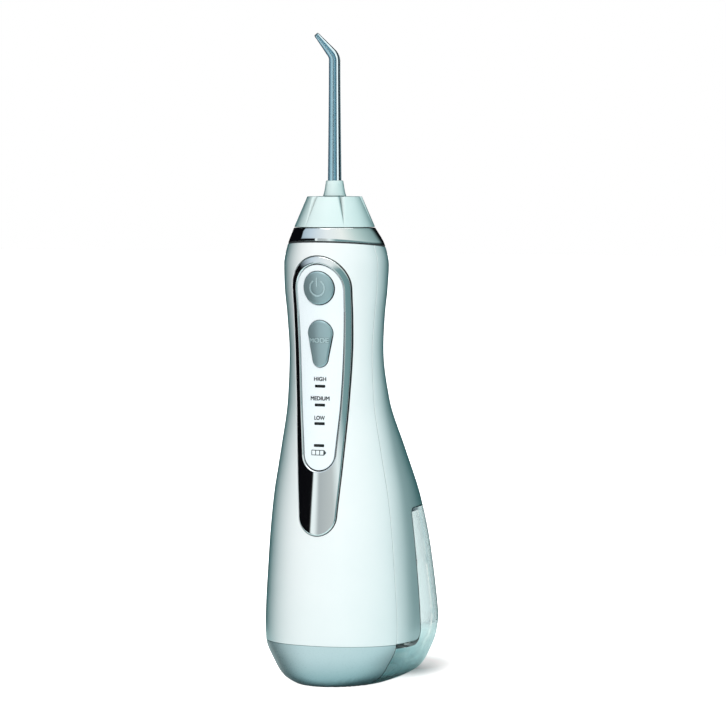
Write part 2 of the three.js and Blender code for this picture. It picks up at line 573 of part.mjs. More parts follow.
function addMotor() {
  const at = [0, MOTOR.y];
  const can = bar('z', MOTOR.r, MOTOR.bottom, MOTOR.top, at, 28)
    .subtract(bar('z', MOTOR.r - 1, MOTOR.bottom - 1, MOTOR.top - 1, at, 28))
    .subtract(bar('z', 1.3, MOTOR.bottom, MOTOR.top + 1, at, 12));
  add('motor_can', can, LOOKS.steel);
  const cap = bar('z', MOTOR.r, MOTOR.bottom - 3, MOTOR.bottom - 0.3, at, 28)
    .subtract(bar('z', 1.3, 80, MOTOR.bottom, at, 12));
  add('motor_end_cap', cap, LOOKS.frame);
  let armature = bar('z', 9, 101, 122, at, 24);
  for (let slot = 0; slot < 3; slot++) {
    const angle = THREE.MathUtils.degToRad(30 + 120 * slot);
    const notch = bar('z', 2.6, 100, 123, [9 * Math.cos(angle), MOTOR.y + 9 * Math.sin(angle)], 12);
    armature = armature.subtract(notch);
  }
  add('motor_armature', armature.subtract(bar('z', 1.05, 100, 123, at, 12)), LOOKS.copper);
  add('motor_shaft', bar('z', 1, MOTOR.bottom - 4, 142, at, 12), LOOKS.steel);
}

// The teeth are a little narrower than half a pitch, so that the gears run with backlash.
function addPinion() {
  const r = (PINION_TEETH * CROWN.module) / 2;
  const flank = [[r - 0.95, 0.75], [r, 0.5], [r + 0.65, 0.28]];
  const points = [];
  for (let tooth = 0; tooth < PINION_TEETH; tooth++) {
    const centre = (2 * Math.PI * (tooth + 0.5)) / PINION_TEETH - Math.PI / 2;
    const rising = flank.map(([radius, half]) => [radius, centre - half / radius]);
    const falling = flank.map(([radius, half]) => [radius, centre + half / radius]).reverse();
    points.push(...rising, ...falling);
  }
  const outline = shape(points.map(([radius, at]) => [radius * Math.cos(at), radius * Math.sin(at)]));
  const reach = (CROWN.teeth * CROWN.module) / 2;
  const gear = new THREE.ExtrudeGeometry(outline, { depth: 4.6, bevelEnabled: false });
  const teeth = solid(gear.translate(0, MOTOR.y, CROWN.z - reach - 2.3));
  const hub = bar('z', 1.9, 131.5, CROWN.z - reach - 2, [0, MOTOR.y], 14);
  add('pinion_gear', teeth.add(hub).subtract(bar('z', 1.05, 120, 150, [0, MOTOR.y], 12)), LOOKS.brass);
}

function addCrownGear() {
  const reach = (CROWN.teeth * CROWN.module) / 2;
  const centre = [0, CROWN.z];
  let gear = bar('y', reach + 1.9, 1.8, CROWN.face - 1, centre, 40);
  gear = gear.add(bar('y', CROWN.cam, -1.5, 2, [0, CROWN.z + CROWN.throw], 32));
  for (let tooth = 0; tooth < CROWN.teeth; tooth++) {
    // A tooth narrows from its root plane up to its tip.
    const [low, high] = [CROWN.face - 1.2, CROWN.face + 0.6];
    const ends = [reach - 1.8, reach + 1.7];
    const ring = (y, half) => [[-half, ends[0]], [half, ends[0]], [half, ends[1]], [-half, ends[1]]]
      .map(([x, z]) => new THREE.Vector3(x, y, z));
    const wedge = loft([ring(low, 0.5), ring(high, 0.26)]);
    gear = gear.add(wedge.rotate([0, (360 * tooth) / CROWN.teeth, 0]).translate([0, 0, CROWN.z]));
  }
  add('crown_gear', gear.subtract(bar('y', 1.55, -5, 10, centre, 16)), LOOKS.nylon);
}

function addPump() {
  const camZ = CROWN.z + CROWN.throw;
  const base = PUMP.bottom;
  const top = base + PUMP.length;
  const inletZ = base + PUMP.inlet;
  const big = bar('y', CROWN.cam + 2, -1.1, 1.1, [0, camZ], 32);
  const ball = solid(new THREE.SphereGeometry(1.5, 12, 8).rotateX(Math.PI / 2).translate(0, 0, PUMP.ball));
  const rod = big.add(bar('z', 1.1, camZ + CROWN.cam, PUMP.ball, [0, 0], 10)).add(ball);
  add('connecting_rod', rod.subtract(bar('y', CROWN.cam + 0.12, -5, 5, [0, camZ], 32)), LOOKS.steel);
  const piston = { r: 5.2, skirt: 3.9, bottom: base + 0.2, roof: base + 9.6, top: base + 12 };
  const groove = { low: base + 8.4, high: base + 10, r: 4.6 };
  const profile = [[piston.skirt, piston.bottom], [piston.r, piston.bottom], [piston.r, groove.low],
    [groove.r, groove.low], [groove.r, groove.high], [piston.r, groove.high], [piston.r, piston.top],
    [0, piston.top], [0, piston.roof], [piston.skirt, piston.roof], [piston.skirt, piston.bottom]];
  add('piston', turned(profile, 24), LOOKS.nylon);
  add('piston_seal', hoop(5.05, 0.42, (groove.low + groove.high) / 2, 24), LOOKS.rubber);
  let cylinder = bar('z', PUMP.r, base, top, [0, 0], 28);
  cylinder = cylinder.add(bar('x', 3.4, 0, 12.5, [0, inletZ], 18));
  cylinder = cylinder.subtract(bar('z', PUMP.bore, base - 9, top - 2.3, [0, 0], 28));
  cylinder = cylinder.subtract(bar('z', 1.5, base, top + 9, [0, 0], 12));
  cylinder = cylinder.subtract(bar('x', 0.8, 0, 12, [0, inletZ], 10));
  add('pump_cylinder', cylinder.subtract(bar('x', 2.6, 7.8, 15, [0, inletZ], 16)), LOOKS.frame);
  add('inlet_valve', bar('x', 2.1, 9, 9.8, [0, inletZ], 16), LOOKS.rubber);
  const stem = bar('z', 0.8, top + 1, top + 2.5, [0, 0], 10);
  add('outlet_valve', bar('z', 2.6, top + 0.6, top + 1.5, [0, 0], 16).add(stem), LOOKS.rubber);
  const hose = [[0, 10.9, PORT_Z], [0, 9.9, 71], [1, 9.6, 77], [9, 9.6, 83], [16.8, 9.4, 92], [17, 9, 112],
    [16.2, 9, 130], [14.6, 9, 148], [15, 6, 166], [15.2, 2, inletZ - 3], [14.6, 0.2, inletZ - 0.2],
    [11.2, 0, inletZ]];
  add('inlet_hose', tube(hose, 1.9, 8, 30), LOOKS.silicone);
  let manifold = bar('z', 6.4, top + GAP, 203, [0, 0], 24);
  manifold = manifold.subtract(bar('z', COLLAR.bore, 193, 204)).subtract(bar('z', 3.2, top, top + 3.7));
  add('outlet_manifold', manifold.subtract(bar('z', 1.2, top, 194, [0, 0], 12)), LOOKS.frame);
}

function addPower() {
  const cells = [['left', -CELL.x], ['right', CELL.x]];
  for (const [side, x] of cells) {
    const end = CELL.bottom + CELL.length - 1.2;
    const cap = bar('z', 2.7, end - 1, end + 1.2, [x, CELL.y], 14);
    add(`battery_cell_${side}`, bar('z', CELL.r, CELL.bottom, end, [x, CELL.y], 24).add(cap), LOOKS.cell);
  }
  const seat = [CELL.bottom - 0.3, CELL.bottom + CELL.length + 0.3];
  let holder = box([-17.6, 17.6], [-8, 6.3], [22.3, 76.8]);
  for (const [, x] of cells) {
    holder = holder.subtract(bar('z', CELL.r + 0.3, ...seat, [x, CELL.y], 24));
  }
  add('battery_holder', holder.subtract(box([-20, 20], [-12, CELL.y], seat)), LOOKS.frame);
  add('circuit_board', box([-9, 9], [-10.6, -9.3], [98, 190]), LOOKS.board);
  for (const [name, z] of Object.entries(SWITCH_Z)) {
    const body = box([-3, 3], [-12.2, -10.9], [z - 3, z + 3]);
    add(`${name}_switch`, body.add(bar('y', 1.6, -12.8, -12, [0, z], 12)), LOOKS.rubber);
  }
  const leads = [['positive', -1, LOOKS.red], ['negative', 1, LOOKS.rubber]];
  for (const [name, side, material] of leads) {
    const path = [[CELL.x, CELL.y, 77.6], [12, -4, 82], [13.5, -5, 95], [11, -9.6, 104]]
      .map(([x, y, z]) => [side * x, y, z]);
    add(`battery_lead_${name}`, tube(path, 0.7, 6, 14), material);
  }
}

function addScrews() {
  for (const s of screwPlaces) {
    const shank = bar('y', 1.25, -9.5, 8.6, [s.x, s.z], 10);
    const head = bar('y', 2.3, 8.3, 10.3, [s.x, s.z], 14).subtract(box([-0.4 + s.x, 0.4 + s.x], [9.5, 11],
      [s.z - 1.6, s.z + 1.6])).subtract(box([s.x - 1.6, s.x + 1.6], [9.5, 11], [s.z - 0.4, s.z + 0.4]));
    add(`housing_screw_${s.name}`, shank.add(head), LOOKS.steel);
  }
}

addFrontHousing();
addRearHousing();
addBaseCap();
addNeckRing();
addPanel();
addButtons();
addKnob();
addTip();
addReservoir();
addFillDoor();
addSuction();
addTipRelease();
addCharging();
addChassis();
addMotor();
addPinion();
addCrownGear();
addPump();
addPower();
addScrews();

export default flosser;
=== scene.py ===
"""Looks for the cordless water flosser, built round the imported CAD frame.

Shapes are worked out in millimetres in the frame's axes (+Z up, the front faces -Y) and written in metres.
"""
import json
import math

import bmesh
import bpy
import numpy as np
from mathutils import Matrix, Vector
from mathutils.geometry import delaunay_2d_cdt


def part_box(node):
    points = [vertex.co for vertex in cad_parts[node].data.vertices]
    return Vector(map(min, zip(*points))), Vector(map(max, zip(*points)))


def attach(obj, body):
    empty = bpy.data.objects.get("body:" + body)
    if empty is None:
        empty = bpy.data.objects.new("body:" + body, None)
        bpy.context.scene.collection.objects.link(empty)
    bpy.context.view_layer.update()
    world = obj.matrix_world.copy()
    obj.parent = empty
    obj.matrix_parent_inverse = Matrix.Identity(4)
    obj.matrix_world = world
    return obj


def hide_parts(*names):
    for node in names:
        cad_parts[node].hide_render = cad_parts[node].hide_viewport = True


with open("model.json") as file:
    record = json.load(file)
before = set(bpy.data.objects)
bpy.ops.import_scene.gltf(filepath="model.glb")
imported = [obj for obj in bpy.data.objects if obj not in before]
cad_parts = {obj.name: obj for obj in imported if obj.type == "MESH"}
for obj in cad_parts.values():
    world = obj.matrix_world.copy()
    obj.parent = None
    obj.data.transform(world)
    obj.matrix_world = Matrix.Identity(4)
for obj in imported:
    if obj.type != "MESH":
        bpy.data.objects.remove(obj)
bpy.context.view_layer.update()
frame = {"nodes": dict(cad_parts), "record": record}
MM = 0.001


def span(node, axis):
    """Lowest and highest place of a CAD node along an axis, in millimetres."""
    low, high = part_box(node)
    return low[axis] / MM, high[axis] / MM


Y, Z = 1, 2
SEAM = 0.14          # shown gap between neighbouring shells
TANK_SEAM = 0.26     # and round the tank, which lifts off
SHELL_WALL = 2.3
TANK_WALL = 2.0
PARTING = (span("front_housing", Y)[1] + span("rear_housing", Y)[0]) / 2
CAP_TOP = (span("base_cap", Z)[1] + span("front_housing", Z)[0]) / 2
RING_TOP = span("neck_ring", Z)[1]
RING_TILT = math.tan(math.radians(5))     # the ring's lower edge falls towards the back
RING_EDGE = 200.2                         # and is this high at y = 0
TANK_TOP = span("reservoir", Z)[1]
KNOB_BOTTOM, KNOB_TOP = span("rotation_knob", Z)
PANEL_MID = {node: sum(span(node, Z)) / 2 for node in
             ("power_button", "mode_button", "high_light", "medium_light", "low_light", "charge_light")}

CREASE_Z = 26.0      # soft edge round the back of the tank
CREASE_ROUND = 0.35
# Handle cross-sections, in step with the CAD: height, half width, reach to the front, reach to the back,
# and how far behind the knob's axis the widest place is.
STATIONS = np.array([
    (0, 20.5, 19, 62, 12), (4, 27, 21.5, 68, 11), (9, 30.5, 22.5, 71, 10), (19.3, 34.8, 23.5, 74.6, 8),
    (CREASE_Z, 35.2, 23.3, 77, 8), (57, 33.8, 21.6, 67.7, 8), (84, 31.5, 19.4, 56.3, 7),
    (107, 27.4, 17.7, 42.5, 5.5),
    (130, 23.35, 16.5, 27.6, 3.5), (152, 22, 16.1, 20.5, 1.8), (168, 22.9, 16.7, 20.1, 1.4),
    (181, 24.1, 18.2, 21.8, 1.5), (191, 24.4, 19.3, 23.5, 1.9), (200, 22.4, 19.6, 22.6, 2),
    (RING_TOP, 18.5, 18.5, 18.5, 0)])
# How square the outline is behind and in front of its widest place: height and power; 2 is an ellipse.
BACK_POWER = np.array([(0, 2.4), (60, 2.45), (100, 2.25), (140, 2), (RING_TOP, 2)])
FRONT_POWER = np.array([(0, 2.15), (60, 2.15), (100, 2.05), (140, 2), (RING_TOP, 2)])


# ---------------------------------------------------------------- curves and surfaces
def columns(*parts):
    """Coordinates side by side, as rows of points."""
    return np.stack(parts, axis=-1)


def smooth(knots, values, x):
    """A monotone curve through the knots, the same one that the CAD uses."""
    x = np.clip(np.asarray(x, float), knots[0], knots[-1])
    step = np.diff(knots)
    slope = np.diff(values) / step
    product = slope[:-1] * slope[1:]
    total = slope[:-1] + slope[1:]
    middle = np.where(product > 0, 2 * product / np.where(total == 0, 1, total), 0)
    tangent = np.concatenate([slope[:1], middle, slope[-1:]])
    i = np.clip(np.searchsorted(knots, x, side="left") - 1, 0, len(knots) - 2)
    t = (x - knots[i]) / step[i]
    return (values[i] * (2 * t**3 - 3 * t**2 + 1) + tangent[i] * step[i] * (t**3 - 2 * t**2 + t)
            + values[i + 1] * (3 * t**2 - 2 * t**3) + tangent[i + 1] * step[i] * (t**3 - t**2))


def back_reach(z):
    """Reach to the back: one curve below the crease and another above it, with the edge between rounded."""
    reach = []
    below, above = STATIONS[STATIONS[:, 0] <= CREASE_Z], STATIONS[STATIONS[:, 0] >= CREASE_Z]
    for part, end in ((below, -1), (above, 0)):
        knots, values = part[:, 0], part[:, 3]
        slope = (np.diff(values) / np.diff(knots))[end]
        reach.append(smooth(knots, values, z) + slope * (z - np.clip(z, knots[0], knots[-1])))
    below, above = reach
    return (below + above - np.sqrt((below - above) ** 2 + CREASE_ROUND**2)) / 2


def section(z, inset=0.0):
    """Half width, front reach, back reach, widest place, and the curve powers, at height z."""
    z = np.asarray(z, float)
    half, front, widest = (smooth(STATIONS[:, 0], STATIONS[:, k], z) for k in (1, 2, 4))
    back = back_reach(z)
    fore = smooth(FRONT_POWER[:, 0], FRONT_POWER[:, 1], z)
    aft = smooth(BACK_POWER[:, 0], BACK_POWER[:, 1], z)
    return half - inset, front - inset, back - inset, widest, fore, aft


def handle_point(turn, z, inset=0.0):
    """Point on the handle's outline at an angle round it, counted from +X towards the back."""
    half, front, back, widest, fore, aft = section(z, inset)
    c, s = np.cos(turn), np.sin(turn)
    power = 2 / np.where(s > 0, aft, fore)
    reach = np.where(s > 0, back - widest, front + widest)
    x = half * np.sign(c) * np.abs(c) ** power
    y = widest + reach * np.sign(s) * np.abs(s) ** power
    return columns(x, y, z + 0 * x)


def turn_at_y(y, z, inset=0.0):
    """Angle on the right-hand side where the outline passes a given y."""
    half, front, back, widest, fore, aft = section(z, inset)
    behind = y > widest
    share = np.abs(y - widest) / np.where(behind, back - widest, front + widest)
    s = np.clip(share, 0, 1) ** (np.where(behind, aft, fore) / 2)
    return np.where(behind, 1, -1) * np.arcsin(s)


def turn_at_x(x, z, back=False):
    """Angle on the front, or on the back, where the outline passes a given x."""
    half, _, _, _, fore, aft = section(z)
    power = (aft if back else fore) / 2
    c = np.sign(x) * np.clip(np.abs(x) / half, 0, 1) ** power
    return np.arccos(c) * (1 if back else -1)


def front_map(proud=0.0, crown=None):
    """Surface map of the handle's front: (x, height) to a point that stands proud of it."""
    def surface(uv):
        x, z = uv[:, 0], uv[:, 1]
        half, front, _, widest, power, _ = section(z, -proud)
        y = widest - (front + widest) * np.clip(1 - (np.abs(x) / half) ** power, 0, 1) ** (1 / power)
        if crown:
            y = y - crown(x, z)
        return columns(x, y, z)
    return surface


def back_map(proud=0.0):
    """The same for the back."""
    def surface(uv):
        x, z = uv[:, 0], uv[:, 1]
        half, _, back, widest, _, power = section(z, -proud)
        y = widest + (back - widest) * np.clip(1 - (np.abs(x) / half) ** power, 0, 1) ** (1 / power)
        return columns(x, y, z)
    return surface


TURN_SCALE = 25.0    # makes an angle round the handle about as long as the arc it stands for


def wall_map(uv):
    """Surface map of the handle's side: (angle x TURN_SCALE, height) to a point."""
    return handle_point(uv[:, 0] / TURN_SCALE, uv[:, 1])


BOWL_FLOOR = 30.0    # radius in the bowl's flat domain that stands for the edge of the flat bottom
BOWL_ROUND = 2.5     # half the width of the rounding between the flat bottom and the side


def bowl_raw(turn, radius):
    share = np.clip(radius / BOWL_FLOOR, 0, 1)
    z = np.maximum(radius - BOWL_FLOOR, 0)
    point = handle_point(turn, z)
    centre = np.array([0, section(0)[3], 0])
    return np.where((radius < BOWL_FLOOR)[:, None], centre + (point - centre) * share[:, None], point)


def bowl_map(uv):
    """Surface map of the bottom and side together: a disc whose centre is the middle of the flat bottom."""
    turn = np.arctan2(uv[:, 1], uv[:, 0])
    radius = np.hypot(uv[:, 0], uv[:, 1])
    low, high = BOWL_FLOOR - BOWL_ROUND, BOWL_FLOOR + BOWL_ROUND
    t = np.clip((radius - low) / (high - low), 0, 1)[:, None]
    one = np.ones_like(radius)
    rounded = ((1 - t) ** 2 * bowl_raw(turn, low * one) + 2 * t * (1 - t) * bowl_raw(turn, BOWL_FLOOR * one)
               + t**2 * bowl_raw(turn, high * one))
    near = (radius > low) & (radius < high)
    return np.where(near[:, None], rounded, bowl_raw(turn, radius))


def bowl_uv(turn, z):
    radius = BOWL_FLOOR + z
    return columns(radius * np.cos(turn), radius * np.sin(turn))


def floor_uv(x, y):
    """Place in the bowl's domain of a point on the flat bottom."""
    half, front, back, widest, fore, aft = section(0.0)
    power = np.where(y > widest, aft, fore)
    reach = np.where(y > widest, back - widest, front + widest)
    share = ((np.abs(x) / half) ** power + (np.abs(y - widest) / reach) ** power) ** (1 / power)
    c = np.sign(x) * (np.abs(x) / half / share) ** (power / 2)
    s = np.sign(y - widest) * (np.abs(y - widest) / reach / share) ** (power / 2)
    return BOWL_FLOOR * share[:, None] * columns(c, s)


# ---------------------------------------------------------------- outlines
def arc(centre, radius, start, end, count):
    angle = np.radians(np.linspace(start, end, count))
    return columns(centre[0] + radius * np.cos(angle), centre[1] + radius * np.sin(angle))


def resample(points, spacing, closed=True):
    """Points spread evenly along a polyline, its own corners kept by fine spacing."""
    if closed:
        points = np.vstack([points, points[:1]])
    length = np.concatenate([[0], np.cumsum(np.linalg.norm(np.diff(points, axis=0), axis=1))])
    count = max(int(round(length[-1] / spacing)), 8)
    at = np.linspace(0, length[-1], count + 1)
    if closed:
        at = at[:-1]
    return columns(*(np.interp(at, length, line) for line in points.T))


def round_ended(top, bottom, sides=(), grow=0.0, spacing=0.7):
    """A long outline, symmetric about x = 0, with round ends (height, radius) and a smooth side."""
    (top_z, top_r), (bottom_z, bottom_r) = top, bottom
    knots = np.array([bottom_z, *[z for z, _ in reversed(sides)], top_z])
    widths = np.array([bottom_r, *[w for _, w in reversed(sides)], top_r])
    z = np.linspace(bottom_z, top_z, 60)
    w = smooth(knots, widths, z) + grow
    right = columns(w, z)
    left = columns(-w, z)[::-1]
    cap = arc((0, top_z), top_r + grow, 0, 180, 40)[1:-1]
    foot = arc((0, bottom_z), bottom_r + grow, 180, 360, 40)[1:-1]
    return resample(np.vstack([right, cap, left, foot]), spacing)


def rounded_box(half_u, half_v, corner, spacing=0.6):
    """An upright box outline round (0, 0) with rounded corners."""
    parts = []
    for quarter, (su, sv) in enumerate([(1, 1), (-1, 1), (-1, -1), (1, -1)]):
        centre = (su * (half_u - corner), sv * (half_v - corner))
        parts.append(arc(centre, corner, 90 * quarter, 90 * quarter + 90, 9))
    return resample(np.vstack(parts), spacing)


# ---------------------------------------------------------------- meshes
class Build:
    """Collects vertices, faces and the shading normal of each face corner."""

    def __init__(self):
        self.points, self.faces, self.normals, self.count = [], [], [], 0

    def add_points(self, points):
        start = self.count
        self.points.append(np.asarray(points, float))
        self.count += len(points)
        return start + np.arange(len(points))

    def add_faces(self, corners, normals):
        """corners is (n, 3 or 4) vertex numbers and normals is (n, 3 or 4, 3)."""
        self.faces.extend(corners.tolist())
        self.normals.append(normals.reshape(-1, 3))

    def bridge(self, lower, upper, lower_normals, upper_normals, flip=False):
        """Quads between two closed rings of equal length."""
        corners = columns(lower, np.roll(lower, -1), np.roll(upper, -1), upper)
        normals = np.stack([lower_normals, np.roll(lower_normals, -1, 0), np.roll(upper_normals, -1, 0),
                            upper_normals], axis=1)
        if flip:
            corners, normals = corners[:, ::-1], normals[:, ::-1]
        self.add_faces(corners, normals)

    def mesh(self, name):
        mesh = bpy.data.meshes.new(name)
        points = np.vstack(self.points) * MM
        mesh.from_pydata(points.tolist(), [], self.faces)
        mesh.polygons.foreach_set("use_smooth", [True] * len(mesh.polygons))
        mesh.update()
        if self.normals:
            mesh.normals_split_custom_set(np.vstack(self.normals).tolist())
        return mesh


def show(name, build, body, look, replaces=(), sharp=None):
    """Put a piece on a body, with its look and the CAD nodes that it stands in for. Edges
    of more than sharp degrees stay sharp; without it the piece has its own normals."""
    mesh = build.mesh(name) if isinstance(build, Build) else build
    if sharp:
        mesh.set_sharp_from_angle(angle=math.radians(sharp))
    thing = bpy.data.objects.new(name, mesh)
    bpy.context.scene.collection.objects.link(thing)
    mesh.materials.clear()
    mesh.materials.append(LOOK[look])
    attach(thing, body)
    if replaces:
        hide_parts(*replaces)


def unit(vectors):
    return vectors / np.maximum(np.linalg.norm(vectors, axis=-1, keepdims=True), 1e-12)


def jacobian(surface, uv, step=1e-3):
    """How a surface's point moves with each of its two flat coordinates."""
    du, dv = np.array([step, 0]), np.array([0, step])
    along_u = (surface(uv + du) - surface(uv - du)) / (2 * step)
    along_v = (surface(uv + dv) - surface(uv - dv)) / (2 * step)
    return along_u, along_v


def surface_normals(surface, uv, outward):
    su, sv = jacobian(surface, uv)
    return outward * unit(np.cross(su, sv))


def inside(points, polygon):
    """Which points a closed polygon holds."""
    x, y = points[:, 0:1], points[:, 1:2]
    x0, y0 = polygon[:, 0], polygon[:, 1]
    x1, y1 = np.roll(x0, -1), np.roll(y0, -1)
    crosses = (y0 > y) != (y1 > y)
    at = x0 + (y - y0) * (x1 - x0) / np.where(y1 == y0, 1, y1 - y0)
    return (np.sum(crosses & (x < at), axis=1) % 2) == 1


def loop_area(loop):
    x, y = loop[:, 0], loop[:, 1]
    return 0.5 * np.sum(x * np.roll(y, -1) - y * np.roll(x, -1))


def triangulate(loops, spacing, extra=None):
    """Triangles over a region with holes: the loops' points first, then a grid inside."""
    edges, start = [], 0
    for loop in loops:
        n = len(loop)
        edges.extend((start + i, start + (i + 1) % n) for i in range(n))
        start += n
    border = np.vstack(loops)
    low, high = loops[0].min(0), loops[0].max(0)
    us = np.arange(low[0] + spacing[0] / 2, high[0], spacing[0])
    vs = np.arange(low[1] + spacing[1] / 2, high[1], spacing[1])
    grid = np.stack(np.meshgrid(us, vs), axis=-1).reshape(-1, 2)
    if extra is not None:
        grid = np.vstack([grid, extra])
    grid = grid[inside(grid, loops[0])]
    for hole in loops[1:]:
        grid = grid[~inside(grid, hole)]
    scaled = border / spacing
    clear = np.ones(len(grid), bool)
    for i in range(0, len(grid), 2000):
        block = grid[i:i + 2000] / spacing
        gap = np.min(np.sum((block[:, None] - scaled[None]) ** 2, axis=-1), axis=1)
        clear[i:i + 2000] = gap > 0.3
    points = np.vstack([border, grid[clear]])
    made = delaunay_2d_cdt([Vector(p) for p in points], edges, [], 0, 1e-7)
    verts = np.array([tuple(v) for v in made[0]])
    triangles = np.array([f for f in made[2] if len(f) == 3])
    place = np.full(len(points), -1)
    for out, sources in enumerate(made[3]):
        for source in sources:
            place[source] = out
    middle = verts[triangles].mean(1)
    keep = inside(middle, loops[0])
    for hole in loops[1:]:
        keep &= ~inside(middle, hole)
    return verts, triangles[keep], place[:len(border)]


def patch(surface, loops, edge, wall, spacing=(2.0, 2.0), outward=1, rounds=4, extra=None):
    """A closed shell of even thickness: a region of a surface with its borders rolled over by edge."""
    build = Build()
    edges = edge if isinstance(edge, (list, tuple)) else [edge] * len(loops)
    loops = [loop if (loop_area(loop) > 0) == (i == 0) else loop[::-1] for i, loop in enumerate(loops)]
    borders = []
    for loop, edge in zip(loops, edges):
        su, sv = jacobian(surface, loop)
        normal = outward * unit(np.cross(su, sv))
        point = surface(loop)
        ahead, back = unit(np.roll(point, -1, 0) - point), unit(point - np.roll(point, 1, 0))
        tangent = unit(ahead + back)
        turn = np.roll(loop, -1, 0) - np.roll(loop, 1, 0)
        right = columns(turn[:, 1], -turn[:, 0])
        raw = su * right[:, :1] + sv * right[:, 1:]
        out = unit(raw - np.sum(raw * tangent, -1, keepdims=True) * tangent)
        out = unit(out - np.sum(out * normal, -1, keepdims=True) * normal)
        miter = 1 / np.clip(np.sum(tangent * ahead, -1, keepdims=True), 0.6, 1)
        a, b, c = (np.sum(p * q, -1) for p, q in ((su, su), (su, sv), (sv, sv)))
        p, q = (np.sum(s * -out * miter, -1) for s in (su, sv))
        step = columns((c * p - b * q), (a * q - b * p)) / (a * c - b * b)[:, None]
        borders.append((loop, step, out, normal, edge))
    inner = [loop + step * edge for loop, step, _, _, edge in borders]
    verts, triangles, place = triangulate(inner, np.array(spacing), extra)
    top = surface(verts)
    normals = surface_normals(surface, verts, outward)
    top_ids = build.add_points(top)
    if outward < 0:
        triangles = triangles[:, ::-1]
    build.add_faces(top_ids[triangles], normals[triangles])
    bottom = top - normals * wall
    start = 0
    rings = []
    for loop, step, out, normal, edge in borders:
        ids = place[start:start + len(loop)]
        start += len(loop)
        last, last_normal = top_ids[ids], normals[ids]
        for k in range(rounds - 1, -1, -1):
            angle = math.pi / 2 * k / rounds
            at = loop + step * edge * (1 - math.cos(angle))
            points = surface(at) - normal * edge * (1 - math.sin(angle))
            new_normal = unit(normal * math.sin(angle) + out * math.cos(angle))
            new = build.add_points(points)
            build.bridge(new, last, new_normal, last_normal, flip=outward < 0)
            last, last_normal = new, new_normal
        bottom[ids] = surface(loop) - normal * wall
        rings.append((ids, last, out))
    bottom_ids = build.add_points(bottom)
    build.add_faces(bottom_ids[triangles[:, ::-1]], -normals[triangles[:, ::-1]])
    for ids, last, out in rings:
        build.bridge(bottom_ids[ids], last, out, out, flip=outward < 0)
    return build


def grid_solid(rings):
    """Rings of points joined in order, and the last one to the first."""
    build = Build()
    ids = [build.add_points(ring) for ring in rings]
    for low, high in zip(ids, ids[1:] + ids[:1]):
        build.faces.extend(columns(low, np.roll(low, -1), np.roll(high, -1), high).tolist())
    return build


def turned(profile, sides):
    """A profile of (radius, height) turned about the vertical axis; it is closed on itself."""
    angle = np.linspace(0, 2 * math.pi, sides, endpoint=False)
    return grid_solid([columns(radius * np.cos(angle), radius * np.sin(angle), z + 0 * angle)
                       for radius, z in profile])


def rounded_profile(points, radius, steps=4):
    """A closed (radius, height) profile with each corner rounded off."""
    points = np.array(points, float)
    out = []
    for i, corner in enumerate(points):
        before, after = points[i - 1] - corner, points[(i + 1) % len(points)] - corner
        cut = min(radius, 0.45 * np.linalg.norm(before), 0.45 * np.linalg.norm(after))
        a, b = corner + unit(before) * cut, corner + unit(after) * cut
        for t in np.linspace(0, 1, steps + 1):
            out.append((1 - t) ** 2 * a + 2 * t * (1 - t) * corner + t**2 * b)
    return np.array(out)


def sweep(path, radii, sides):
    """Rings round a smooth path."""
    path = np.asarray(path, float)
    along = unit(np.gradient(path, axis=0))
    side = unit(np.cross(along[0], [0.3, 1, 0.2]))
    rings = []
    angle = np.linspace(0, 2 * math.pi, sides, endpoint=False)
    for point, direction, radius in zip(path, along, radii):
        side = unit(side - direction * np.dot(side, direction))
        other = np.cross(direction, side)
        rings.append(point + radius * (np.cos(angle)[:, None] * side + np.sin(angle)[:, None] * other))
    return rings


# ---------------------------------------------------------------- materials
def node(tree, kind, inputs=None, **settings):
    made = tree.nodes.new("ShaderNode" + kind)
    for key, value in settings.items():
        setattr(made, key, value)
    for key, value in (inputs or {}).items():
        if isinstance(value, bpy.types.NodeSocket):
            tree.links.new(value, made.inputs[key])
        else:
            made.inputs[key].default_value = value
    return made


def noise(tree, scale, detail=3.0, stretch=(1, 1, 1)):
    place = node(tree, "TexCoord").outputs["Object"]
    spread = node(tree, "Mapping", {"Vector": place, "Scale": stretch}).outputs[0]
    return node(tree, "TexNoise", {"Vector": spread, "Scale": scale, "Detail": detail}).outputs["Fac"]


def remap(tree, value, low, high, new_low, new_high):
    inputs = {"Value": value, "From Min": low, "From Max": high, "To Min": new_low, "To Max": new_high}
    return node(tree, "MapRange", inputs, interpolation_type="SMOOTHSTEP").outputs["Result"]


def blend(tree, factor, first, second, how="MIX"):
    mix = node(tree, "Mix", data_type="RGBA", blend_type=how)
    for index, value in ((0, factor), (6, first), (7, second)):
        if isinstance(value, bpy.types.NodeSocket):
            tree.links.new(value, mix.inputs[index])
        else:
            mix.inputs[index].default_value = value if index == 0 else (*value, 1)
    return mix.outputs[2]


def blank(name):
    """A material that has only a Principled shader and its output."""
    material = bpy.data.materials.new(name)
    material.use_nodes = True
    tree = material.node_tree
    tree.nodes.clear()
    output = node(tree, "OutputMaterial")
    shader = node(tree, "BsdfPrincipled")
    tree.links.new(shader.outputs[0], output.inputs[0])
    return material, tree, shader


def plug(tree, shader, **inputs):
    for key, value in inputs.items():
        socket = shader.inputs[key.replace("_", " ")]
        if isinstance(value, bpy.types.NodeSocket):
            tree.links.new(value, socket)
        else:
            socket.default_value = value


def shade_toward_foot(tree, colour, low, high, shade_tone):
    """Painted shade toward the foot: mix toward a darker tone from one height down to another."""
    height = node(tree, "SeparateXYZ", {0: node(tree, "TexCoord").outputs["Object"]}).outputs["Z"]
    return blend(tree, remap(tree, height, low * MM, high * MM, 1, 0), colour, shade_tone)


def edge_shade(tree, colour, tone, start, end):
    """Painted shade at glancing edges: mix toward a tone where the eye looks along the surface."""
    facing = node(tree, "LayerWeight", {"Blend": 0.5}).outputs["Facing"]
    return blend(tree, remap(tree, facing, start, end, 0, 1), colour, tone)


